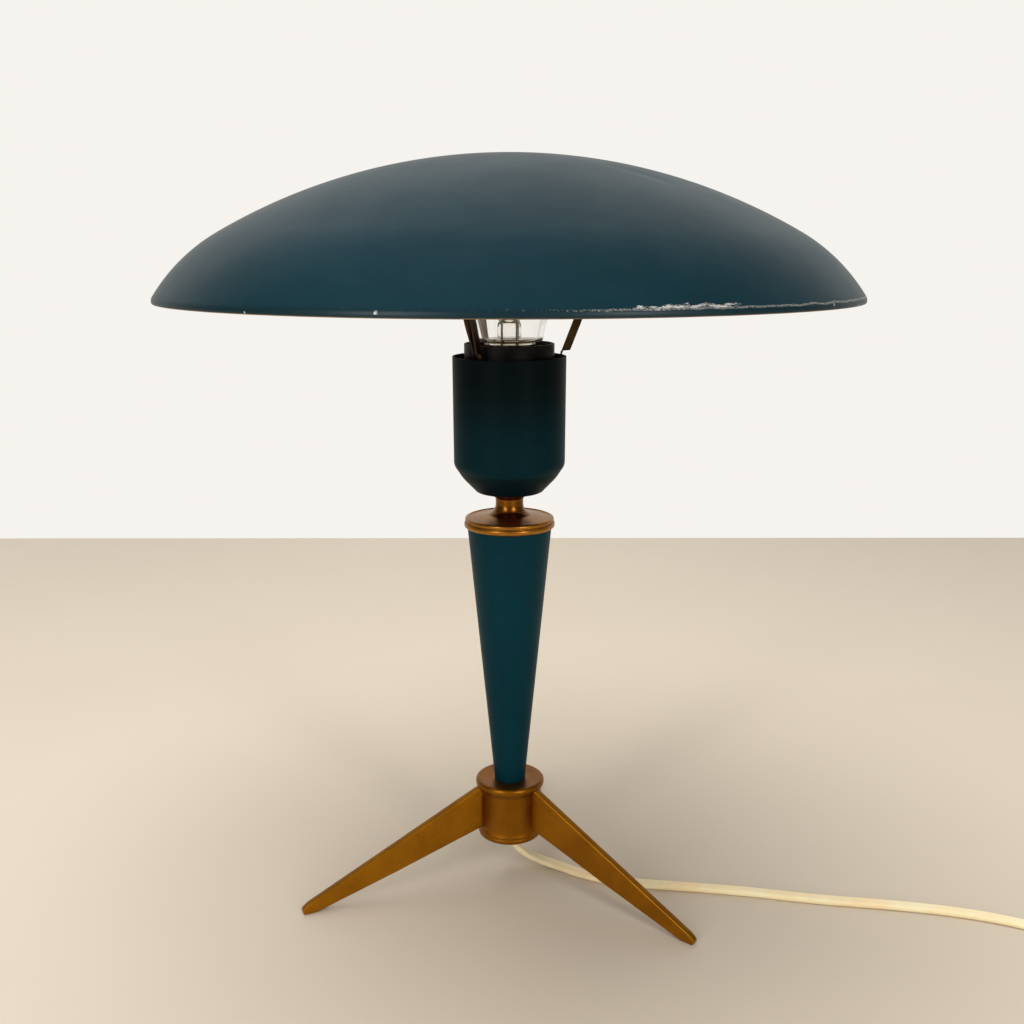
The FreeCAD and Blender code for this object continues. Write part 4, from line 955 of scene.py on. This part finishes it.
    def fitted(self, at: Array, y: Array) -> tuple[Array, Array]:
        """The lengthwise lines' points, moved along their own lines so as to start on the hub.

        Args:
            at: (stations, lines, 2) points as x and z.
            y: how far each line stands to the side.

        Returns:
            The new x and z of every point.
        """
        x, z = at[..., 0].copy(), at[..., 1].copy()
        end = self.hub.barrel + self.root_zone
        for j in range(x.shape[1]):
            line_x, line_z = np.maximum.accumulate(at[:, j, 0]), at[:, j, 1]
            root = self.hub.barrel
            for _ in range(3):
                reach = float(self.hub.radius_at(np.interp(root, line_x, line_z)))
                root = math.sqrt(reach ** 2 - y[j] ** 2)
            zone = x[:, j] < end
            spread = root + (x[zone, j] - x[0, j]) * (end - root) / (end - x[0, j])
            x[zone, j] = spread
            z[zone, j] = np.interp(spread, line_x, line_z)
        return x, z

    def make_legs(self) -> None:
        """Three like blades at their own azimuths."""
        points, faces = self.leg_surface()
        for node, azimuth in self.leg_azimuths:
            leg = build(node + "_blade", spun(points, azimuth), faces)
            self.add(leg, self.finishes.leg_gold, "gold_brass", [node])

    def make_stem(self) -> None:
        """A tapered shell with a closed loop as its profile: up the outside, down the inside."""
        low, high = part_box("stem_cone")
        z0, z1 = low.z, high.z
        edge = 0.3 * MM
        path = rounded([
            (self.stem_low, z0, edge), (self.stem_high, z1, edge),
            (self.stem_high - self.stem_wall, z1, edge), (self.stem_low - self.stem_wall, z0, edge),
        ], closed=True)
        path = subdivided(np.concatenate([path, path[:1]]), 4 * MM)[:-1]
        self.add_turned("stem_shell", path, self.finishes.teal, "teal_stem", "stem_cone")

    def make_cap(self) -> None:
        """The turned cap with its two beads."""
        z0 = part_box("stem_cone")[1].z
        top = z0 + self.cap_height
        mid, rim, web = z0 + self.cap_groove, z0 + self.cap_rim, top - self.cap_web
        outer = self.stem_high - self.stem_wall - self.cap_spigot_gap
        inner = outer - 1.5 * MM
        foot = z0 - self.cap_spigot
        u, b = self.upper_bead, self.bead_radius
        path = rounded([
            (self.tube_bore, top, 0.1 * MM), (self.neck_foot + 0.6 * MM, top, 0.4 * MM),
            (u - 2.2 * MM, rim - 0.5 * MM, 0.5 * MM), (u - 1.5 * MM, rim, 0.5 * MM),
            (u, rim - 0.5 * MM, 0.7 * MM), (u, mid + 0.3 * MM, 0.7 * MM),
            (u - 0.8 * MM, mid, 0.2 * MM), (b, mid - 0.1 * MM, 1.1 * MM), (b, z0, 1.0 * MM),
            (outer, z0, 0.1 * MM), (outer, foot, 0.3 * MM), (inner, foot, 0.3 * MM),
            (inner, web, 0.5 * MM), (self.tube_bore, web, 0.1 * MM),
        ], closed=True)
        self.add_turned("cap_turned", path, self.finishes.cap_brass, "cap_brass", "stem_cap")

    def make_neck(self) -> None:
        """Foot, hollow waist and ball in one profile.

        The ball, of radius b, is r = sqrt(b^2 - h^2) at a height h over the joints' centre.
        """
        z0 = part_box("neck_ball")[0].z
        pivot = frame["joints"][0]["pos_m"][2]
        edge = z0 + self.neck_edge
        throat = edge + (self.neck_foot - self.neck_waist) * math.tan(math.radians(self.neck_slope))
        drop = math.sqrt(self.ball ** 2 - self.neck_waist ** 2)
        foot = rounded([
            (self.tube_bore, z0), (self.neck_foot, z0, 0.3 * MM), (self.neck_foot, edge, 0.35 * MM),
            (self.neck_waist, throat, 6.0 * MM), (self.neck_waist, pivot - drop),
        ])
        a = np.linspace(math.asin(-drop / self.ball), math.acos(self.bore / self.ball), 40)
        sphere = np.stack([self.ball * np.cos(a), pivot + self.ball * np.sin(a)], 1)
        end = z0 + self.tube_depth
        path = np.concatenate([foot, sphere[1:], [(self.bore, end), (self.tube_bore, end)]])
        self.add_turned("neck_turned", path, self.finishes.shaded_neck_brass, "cap_brass", "neck_ball")


@dataclass
class Joint(Assembly):
    """The ball joint's rings and clamp, inside the cup."""

    def make(self) -> None:
        """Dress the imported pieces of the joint."""
        f = self.finishes
        self.dress(f.fibre, "lower_seat", "upper_seat")
        self.dress(f.bright_brass, "socket_ring", "ball_clamp")
        self.dress(f.steel, "clamp_screws", "holder_nipple", "holder_locknut")


@dataclass
class Head(Assembly):
    """Cup, lampholder, arms, bulb and shade."""

    body: ClassVar[Body] = Body.HEAD
    cup_wall: float = 0.9 * MM
    cup_hole: float = 12.45 * MM
    cup_floor: float = 17.2 * MM
    cup_slope: tuple[float, float] = (24.6 * MM, 7.7 * MM)
    cup_shoulder: tuple[float, float] = (29.2 * MM, 14.6 * MM)
    cup_rim: float = 29.5 * MM
    shade_wall: float = 1.0 * MM
    shade_drop: float = 70.6 * MM
    shoulder: float = 92.0 * MM
    rim_lean: float = 33.0
    roll: float = 3.5 * MM
    roll_end: float = -15.0
    bulb_wall: float = 0.5 * MM
    bulb_neck: float = 12.4 * MM
    bulb_reach: float = 30.0 * MM
    bulb_crown: float = 24.0 * MM
    wire: float = 0.45 * MM
    wire_apart: float = 2.7 * MM
    arm_azimuth: float = -2.6
    arm_lean: float = 21.0
    arm_tongue: float = 26.4 * MM
    arm_depth: float = 4.1 * MM
    arm_slant: float = 2.0 * MM
    arm_bend: float = 1.7 * MM

    def make(self) -> None:
        """Build and dress every piece of the head."""
        self.make_cup()
        self.make_holder()
        self.make_arms()
        self.make_bulb()
        self.make_shade()

    def make_cup(self) -> None:
        """Floor, sloping shoulder and straight wall, with the inside a wall's thickness in."""
        low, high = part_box("lampholder_cup")
        z0, z1 = low.z, high.z
        slope, shoulder = self.cup_slope, self.cup_shoulder
        outside = rounded([
            (self.cup_hole, z0), (self.cup_floor, z0, 3.0 * MM), (slope[0], z0 + slope[1], 18.0 * MM),
            (shoulder[0], z0 + shoulder[1], 6.0 * MM), (self.cup_rim, z1),
        ], step=4.0)
        inside = offset_path(outside, self.cup_wall)
        lip = np.array([[self.cup_rim - self.cup_wall / 2, z1 + 0.12 * MM]])
        path = np.concatenate([outside, lip, inside[::-1]])
        path = subdivided(np.concatenate([path, path[:1]]), 5 * MM)[:-1]
        path[:, 1] = np.minimum(path[:, 1], z1)
        self.add_turned("cup_spun", path, self.finishes.shaded_cup_teal, "teal_stem", "lampholder_cup")

    def make_holder(self) -> None:
        """The black lampholder and what is inside it."""
        f = self.finishes
        for node in ("holder_cap", "holder_sleeve", "holder_collar"):
            self.add_copy(node + "_moulded", node, f.black, "black_bakelite")
        self.dress(f.black, "contact_block", "bulb_insulator")
        self.dress(f.bright_brass, "thread_shell", "centre_contact", "terminal_blocks")
        self.dress(f.steel, "terminal_screws")
        self.dress(f.core, "core_wires")
        self.dress(f.flex, "head_flex")

    def make_arms(self) -> None:
        """Channel arms, their ring and its rivets."""
        f = self.finishes
        for k, node in enumerate(("shade_arm_right", "shade_arm_back", "shade_arm_left")):
            arm = self.smooth_copy(node + "_channel", node, 25.0)
            self.slant(arm, self.arm_azimuth + 120 * k)
            self.add(arm, f.dark_brass, "dark_brass", [node])
        self.dress(f.dark_brass, "arm_ring", "arm_rivets")

    def slant(self, arm: bpy.types.Object, azimuth: float) -> None:
        """Cut the lower ends of the arm's flanges at a slant, by raising their outer corners.

        With s along the arm and d outwards from its web, a corner with s under 2 mm moves along
        the arm by the slant times d over the flanges' depth.
        """
        mesh = arm.data
        points = spun(read(mesh.vertices, "co"), -azimuth)
        lean = math.radians(self.arm_lean)
        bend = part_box("lampholder_cup")[1].z + self.arm_bend
        dx, dz = points[:, 0] - self.arm_tongue, points[:, 2] - bend
        s = dx * math.sin(lean) + dz * math.cos(lean)
        d = dx * math.cos(lean) - dz * math.sin(lean)
        low = (s > 0.9 * MM) & (s < 2 * MM) & (d > 0.5 * MM)
        shift = np.where(low, self.arm_slant * d / self.arm_depth, 0.0)
        points[:, 0] += shift * math.sin(lean)
        points[:, 2] += shift * math.cos(lean)
        mesh.vertices.foreach_set("co", spun(points, azimuth).ravel())
        mesh.update()

    def make_bulb(self) -> None:
        """Clear glass with a real wall, the mount and wires inside it, and the screw cap."""
        f = self.finishes
        low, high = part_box("bulb_glass")
        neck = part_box("bulb_cap")[1].z
        top, reach, crown = high.z, self.bulb_reach, self.bulb_crown
        shells = []
        for inset in (0.0, self.bulb_wall):
            side = rounded([
                (self.bulb_neck - inset, low.z),
                (self.bulb_neck - inset, neck + 0.4 * MM + inset, 1.2 * MM),
                (17.4 * MM - inset, neck + 1.6 * MM + inset, 1.8 * MM),
                (18.7 * MM - inset, neck + 10 * MM, 20 * MM),
                (reach - inset, top - 42 * MM, 26 * MM), (reach - inset, top - crown),
            ], step=5.0)
            rise = crown - inset
            bend = ((reach - inset) ** 2 + rise ** 2) / (2 * rise)
            a = np.linspace(math.asin((reach - inset) / bend), 0, 30)[1:]
            cap = np.stack([bend * np.sin(a), top - inset - bend + bend * np.cos(a)], 1)
            shells.append(np.concatenate([side, cap]))
        path = np.concatenate([shells[0][::-1], shells[1]])
        bulb = build("bulb_envelope", *turned(path, False, 128))
        self.add(bulb, f.glass, "clear_glass", ["bulb_glass"])
        self.add_copy("bulb_stem", "bulb_mount", f.mount_glass, "mount_glass")
        foot, tip = neck - 2 * MM, neck + 10 * MM
        rod = np.array([(0.0, foot), (self.wire, foot), (self.wire, tip), (0.0, tip)])
        points, faces = turned(subdivided(rod, 2 * MM), False, 12)
        wires = [(points + np.array([side * self.wire_apart, 0, 0]), faces) for side in (-1, 1)]
        self.add(build("mount_wires", *joined(wires)), f.dark_brass, "wire", [])
        self.dress(f.steel, "bulb_filament", "bulb_contact")
        self.add_copy("bulb_screw_cap", "bulb_cap", f.bright_brass, "bright_brass")

    def shade_section(self, inset: float, count: int) -> Array:
        """The dome's half section from the rim to the top, (r, z).

        A small arc rolls the rim in from the roll's end to the rim's lean, both the angle of the
        normal above level. A shoulder arc is tangent to it there, and a crown arc with its centre
        on the axis is tangent to that and ends at the top.
        """
        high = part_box("shade")[1]
        lean, end = math.radians(self.rim_lean), math.radians(self.roll_end)
        s, q = self.shoulder, self.roll
        qr, qz = high.x - q, high.z - self.shade_drop - q * math.sin(end)
        cr, cz = qr - (s - q) * math.cos(lean), qz - (s - q) * math.sin(lean)
        drop = cz - high.z
        crown = (s * s - cr ** 2 - drop ** 2) / (2 * (drop + s))
        meet = math.atan2(cz - (high.z - crown), cr)
        a = np.linspace(lean, meet, count // 2)
        b = np.linspace(meet, math.pi / 2, count // 2)[1:]
        c = np.linspace(end, lean, 10)[:-1]
        rim = np.stack([qr + (q - inset) * np.cos(c), qz + (q - inset) * np.sin(c)], 1)
        shoulder = np.stack([cr + (s - inset) * np.cos(a), cz + (s - inset) * np.sin(a)], 1)
        dome = np.stack([(crown - inset) * np.cos(b), high.z - crown + (crown - inset) * np.sin(b)], 1)
        dome[-1, 0] = 0.0
        return np.concatenate([rim, shoulder, dome])

    def dented(self, points: Array) -> Array:
        """The dome with its two shallow dents.

        Each dent lowers the sheet by depth * exp(-(a / length)^4 - (b / width)^2), where a and b
        are the distances along and across the dent's line, seen from above.
        """
        moved = points.copy()
        for x, y, angle, length, width, depth in (
            (58.0, -62.0, -30.0, 17.0, 5.0, 0.35), (-70.0, 55.0, 40.0, 14.0, 7.0, 0.25),
        ):
            c, s = math.cos(math.radians(angle)), math.sin(math.radians(angle))
            dx, dy = points[:, 0] - x * MM, points[:, 1] - y * MM
            along, across = dx * c + dy * s, -dx * s + dy * c
            fall = np.exp(-((along / (length * MM)) ** 4) - (across / (width * MM)) ** 2)
            moved[:, 2] -= depth * MM * fall * (points[:, 2] > 0.33)
        return moved

    def make_shade(self) -> None:
        """One closed shell: white inside, a bare cut edge and enamel outside."""
        f = self.finishes
        outer = self.shade_section(0.0, 130)
        inner = self.shade_section(self.shade_wall, 90)
        a, b = outer[0], inner[0]
        lean = math.radians(self.roll_end)
        t = np.linspace(0, math.pi, 9)[1:-1]
        middle, half = (a + b) / 2, (a - b) / 2
        down = np.array([math.sin(lean), -math.cos(lean)]) * self.shade_wall / 2
        edge = middle + np.cos(t)[:, None] * -half + np.sin(t)[:, None] * down
        path = np.concatenate([inner[::-1], edge, outer])
        points, faces = turned(path, False, 288)
        shade = build("shade_spun", self.dented(points), faces, 60.0)
        for finish in (f.teal_shade, f.cut_edge, f.inside):
            shade.data.materials.append(finish)
        self.paint_rows(shade, outer[0, 1])
        self.add(shade, f.teal_shade, "teal_shade", ["shade"])

    def paint_rows(self, shade: bpy.types.Object, rim: float) -> None:
        """Give the faces of the rim and of the inside their own finishes, by where they look."""
        mesh = shade.data
        centre, normal = read(mesh.polygons, "center"), read(mesh.polygons, "normal")
        radial = np.linalg.norm(centre[:, :2], axis=1)
        outward = (centre[:, :2] * normal[:, :2]).sum(1) / np.maximum(radial, 1e-9)
        edge = rim + 0.02 * MM
        above = centre[:, 2] > edge
        inside = above & ((outward < -0.02) | (normal[:, 2] < -0.5)) | (outward < -0.3)
        index = np.where(inside, 2, 0)
        index[(centre[:, 2] < edge) & ~inside] = 1
        index[centre[:, 2] < rim - 0.15 * MM] = 1
        mesh.polygons.foreach_set("material_index", index.astype(np.int32))


@dataclass
class Flex(Assembly):
    """The flat twin flex, its sleeve, switch, coil and plug."""

    width: float = 6.8 * MM
    thickness: float = 3.4 * MM
    groove: float = 0.55 * MM
    rest: float = 1.7 * MM
    coil_centre: tuple[float, float] = (0.268, -0.254)
    coil_radius: float = 47.0 * MM
    coil_pitch: float = 7.3 * MM
    coil_layer: float = 3.85 * MM

    def lead_route(self) -> list[tuple[float, float, float]]:
        """From the sleeve down to the table, behind the right leg and on to the switch."""
        r, s = self.rest, 5.0 * MM
        return [
            (0.0, 0.0, 0.020), (0.0026, 0.0006, 0.0152), (0.0092, 0.0030, 0.0082),
            (0.0180, 0.0052, 0.0030), (0.0290, 0.0000, r), (0.0430, -0.0096, r), (0.063, -0.0172, r),
            (0.094, -0.0212, r), (0.130, -0.0263, r), (0.166, -0.0344, r), (0.203, -0.0395, r),
            (0.238, -0.0462, r), (0.268, -0.0568, r), (0.291, -0.0715, r), (0.306, -0.090, 0.003),
            (0.310, -0.108, s), (0.310, -0.124, s),
        ]

    def put_away_route(self) -> list[tuple[float, float, float]]:
        """From the switch into the coil, round it in two layers, and out to the plug."""
        r = self.rest
        tail = [(0.310, -0.184, 0.005), (0.310, -0.197, 0.005), (0.3115, -0.214, r), (0.315, -0.2322, r)]
        end = [
            (0.221, -0.2322, r + self.coil_layer), (0.217, -0.2142, r + 0.0008), (0.204, -0.1992, r),
            (0.185, -0.1912, 0.003), (0.160, -0.186, 0.00685), (0.144, -0.186, 0.00685),
        ]
        return tail + self.coil_points() + end

    def coil_points(self) -> list[tuple[float, float, float]]:
        """The coil's turns: near halves keep their radius, far halves step by one pitch.

        A point is centre + R (cos a, -sin a), with R following the half turn that it is in, and
        the middle near half climbs one layer. R is a little large, as a spline cuts inside.
        """
        centre, outer = self.coil_centre, self.coil_radius
        radii, heights = [outer, outer], [0.0, 0.0]
        for radius, height in ((1, 0), (1, 0), (2, 0), (2, 1), (1, 1), (1, 1), (0, 1), (0, 1)):
            radii.append(outer - radius * self.coil_pitch)
            heights.append(height * self.coil_layer)
        steps = 8
        made = []
        for k in range(9):
            r0, r1 = radii[k], radii[k + 1]
            side = 1.0 if k % 2 == 0 else -1.0
            shift, mean = side * (r0 - r1) / 2, (r0 + r1) / 2
            for i in range(steps):
                a = math.pi * (i + 0.5) / steps
                swell = mean / math.cos(math.pi / steps / 2)
                z = self.rest + heights[k] + (heights[k + 1] - heights[k]) * (1 - math.cos(a)) / 2
                x = centre[0] + shift + side * swell * math.cos(a)
                made.append((x, centre[1] - side * swell * math.sin(a), z))
        return made

    def spline(self, name: str, route: Sequence[tuple[float, float, float]]) -> bpy.types.Object:
        """A smooth open curve with the route's points as its control points."""
        curve = bpy.data.curves.new(name, "CURVE")
        curve.dimensions = "3D"
        curve.resolution_u = 10
        line = curve.splines.new("NURBS")
        line.points.add(len(route) - 1)
        line.points.foreach_set("co", np.array([(*p, 1.0) for p in route]).ravel())
        line.order_u = 3
        line.use_endpoint_u = True
        return placed(name, curve)

    def centre_line(self, route: Sequence[tuple[float, float, float]]) -> Array:
        """Points along the route's smooth curve."""
        holder = self.spline("route", route)
        bpy.context.view_layer.update()
        mesh = bpy.data.meshes.new_from_object(holder)
        points = read(mesh.vertices, "co")
        bpy.data.objects.remove(holder)
        bpy.data.meshes.remove(mesh)
        keep = np.concatenate([[True], np.linalg.norm(np.diff(points, axis=0), axis=1) > 1e-6])
        return points[keep]

    def section(self, count: int = 28) -> Array:
        """The flex's section: a stadium with a shallow groove along the middle of each flat.

        Half the height at x is the stadium's, less the groove's depth times exp(-(x / w)^2).
        """
        a = np.linspace(0, 2 * math.pi, count, endpoint=False) + math.pi / count
        flat, end = (self.width - self.thickness) / 2, self.thickness / 2
        cos, sin = np.cos(a), np.sin(a)
        x = np.sign(cos) * np.abs(cos) ** 0.8 * (flat + end)
        over = np.maximum(np.abs(x) - flat, 0)
        z = np.sign(sin) * np.sqrt(np.maximum(end ** 2 - over ** 2, 0))
        z *= 1 - self.groove / end * np.exp(-((x / (0.55 * MM)) ** 2))
        return np.stack([x, z], 1)

    def tube(self, name: str, line: Array, wide_start: tuple[float, float, float]) -> bpy.types.Object:
        """The section carried along the line, its wide way kept level.

        The wide way is the level direction square to the path; where the path drops out of the
        sleeve it goes over into the start's own. Both ends are closed.

        Args:
            name: the piece's name.
            line: (n, 3) points of the middle line.
            wide_start: the wide way of a start that hangs over the table.

        Returns:
            The object, in the scene.
        """
        tangent = np.gradient(line, axis=0)
        tangent /= np.linalg.norm(tangent, axis=1)[:, None]
        level = np.cross(tangent, [0, 0, 1.0])
        if line[0, 2] > 2 * self.width:
            start = np.array(wide_start)
            weight = np.clip((np.linalg.norm(level, axis=1) - 0.25) / 0.4, 0, 1)[:, None]
            level = np.where((level @ start)[:, None] < 0, -level, level)
            level = level * weight + start * (1 - weight)
        wide = level - (level * tangent).sum(1)[:, None] * tangent
        wide /= np.linalg.norm(wide, axis=1)[:, None]
        thin = np.cross(wide, tangent)
        ring = self.section()
        grid = line[:, None] + wide[:, None] * ring[None, :, :1] + thin[:, None] * ring[None, :, 1:]
        faces = grid_faces(len(line), len(ring), False, True)
        fan = grid_faces(2, len(ring), False, True)
        hubs = [np.broadcast_to(line[k], grid[k].shape) for k in (0, -1)]
        ends = [(np.concatenate([grid[k], hub]), fan) for k, hub in zip((0, -1), hubs)]
        return build(name, *joined([(grid.reshape(-1, 3), faces), *ends]), 50.0)

    def make(self) -> None:
        """The two lengths of free flex, their fittings and the hidden stretch in the stem."""
        f = self.finishes
        self.make_sleeve()
        lead = self.centre_line(self.lead_route())
        flex = self.tube("flex_to_switch", lead, (0.0, 1.0, 0.0))
        self.add(flex, f.flex, "flex_ivory", ["cord_lead"])
        self.switch_pieces()
        rest = self.centre_line(self.put_away_route())
        coil = self.tube("flex_to_plug", rest, (1.0, 0.0, 0.0))
        self.add(coil, f.flex, "flex_ivory", ["cord_tail", "cord_coil", "cord_end"])
        self.plug_pieces()
        self.dress(f.flex, "stem_flex")

    def make_sleeve(self) -> None:
        """The tapered rubber sleeve in the hub's base plate."""
        self.add_copy("sleeve_moulded", "cord_sleeve", self.finishes.ivory, "rubber_cream")

    def switch_pieces(self) -> list[bpy.types.Object]:
        """The in-line switch's halves, screws and rocker."""
        f = self.finishes
        made = [
            self.add_copy(node + "_moulded", node, f.ivory, "ivory_plastic", body)
            for node, body in (
                ("switch_base", Body.STAND),
                ("switch_cover", Body.STAND),
                ("switch_rocker", Body.ROCKER),
            )
        ]
        self.dress(f.steel, "switch_screws")
        return made + [frame["nodes"]["switch_screws"]]

    def plug_pieces(self) -> list[bpy.types.Object]:
        """The plug, its pins and the strap round the coil."""
        f = self.finishes
        made = [
            self.add_copy(name, node, f.ivory, "ivory_plastic")
            for name, node in (("plug_moulded", "plug_body"), ("tie_strap", "coil_tie"))
        ]
        self.dress(f.bright_brass, "plug_pins")
        return made + [frame["nodes"]["plug_pins"]]


# ---- studio -----------------------------------------------------------------------------


@dataclass
class Studio:
    """Pale table top, soft lights and the camera at the photograph's place."""

    lens: float = 40.40
    eye: tuple[float, float, float] = (0.00143, -0.5966, 0.34738)
    pitch: float = 12.953
    roll: float = 0.045
    table_side: float = 3.0
    table_back: float = 0.771
    wall_light: float = 0.6
    room_light: float = 0.16

    def make(self) -> None:
        """Set the stage."""
        self.make_camera()
        self.make_floor()
        self.make_world()
        self.make_lights()
        bpy.context.scene.view_settings.view_transform = "Standard"

    def make_camera(self) -> None:
        """The camera looks along +Y, tipped down by its pitch."""
        data = bpy.data.cameras.new("camera")
        data.lens = self.lens
        data.sensor_width = 36.0
        camera = placed("camera", data)
        camera.location = self.eye
        camera.rotation_euler = (math.radians(90 - self.pitch), math.radians(self.roll), 0.0)
        bpy.context.scene.camera = camera

    def make_floor(self) -> None:
        """A plain pale table top that ends behind the lamp, where the photograph's does."""
        side, back = self.table_side, self.table_back
        corners = np.array([(-side, -side, 0), (side, -side, 0), (side, back, 0), (-side, back, 0)])
        floor = build("table_top", corners, np.array([[0, 1, 2, 3]]))
        paint = Paint("table_top")
        grain = paint.g.noise(paint.place, 3.0, 4.0)
        colour = paint.g.mix(grain, srgb(214, 202, 184), srgb(206, 193, 174))
        paint.put(base_color=colour, roughness=0.6)
        floor.data.materials.append(paint.material)

    def make_world(self) -> None:
        """A pale surround to the camera; to everything else, a bright wall behind and a dim room.

        The room's light in a direction d is the room's own, plus the wall's by ease(d.y).
        """
        world = bpy.data.worlds.new("surround")
        bpy.context.scene.world = world
        world.use_nodes = True
        g = Graph(world.node_tree)
        path = g.node("LightPath")
        seen = g.larger(path.outputs["Is Camera Ray"], path.outputs["Is Transmission Ray"])
        toward = g.split(g.node("TexCoord").outputs["Generated"])
        wall = g.times(g.ramp(toward[1], 0.2, 0.85), self.wall_light)
        room = g.plus(wall, self.room_light)
        pale = g.node("Background", None, color=srgb(246, 243, 238), strength=1.0)
        dim = g.node("Background", None, color=srgb(250, 246, 240), strength=room)
        both = g.node("MixShader", None, in_0=seen, in_1=dim.outputs[0], in_2=pale.outputs[0])
        g.node("OutputWorld", None, in_0=both.outputs[0])

    def make_lights(self) -> None:
        """A broad soft light overhead that isn't mirrored, and two slim windows in front."""
        for name, place, width, height, power, mirrored in (
            ("ceiling", (-0.25, 0.1, 1.9), 1.9, 1.9, 40.0, False),
            ("window_left", (-0.9, -1.3, 0.75), 0.35, 1.0, 9.6, True),
            ("window_right", (0.9, -1.3, 0.75), 0.35, 1.0, 9.0, True),
        ):
            data = bpy.data.lights.new(name, "AREA")
            data.shape = "RECTANGLE"
            data.size, data.size_y = width, height
            data.energy = power
            light = placed(name, data)
            light.location = place
            light.visible_glossy = mirrored
            aim = Vector((0.0, 0.0, 0.2)) - Vector(place)
            light.rotation_euler = aim.to_track_quat("-Z", "Y").to_euler()


def main() -> None:
    """Build the lamp's sub-assemblies in order, then the studio."""
    logging.basicConfig(level=logging.INFO, format="%(name)s: %(message)s")
    Studio().make()
    finishes = Finishes()
    Flex(finishes).make()
    Stand(finishes, HubShape()).make()
    Joint(finishes).make()
    Head(finishes).make()


if __name__ == "__main__":
    main()
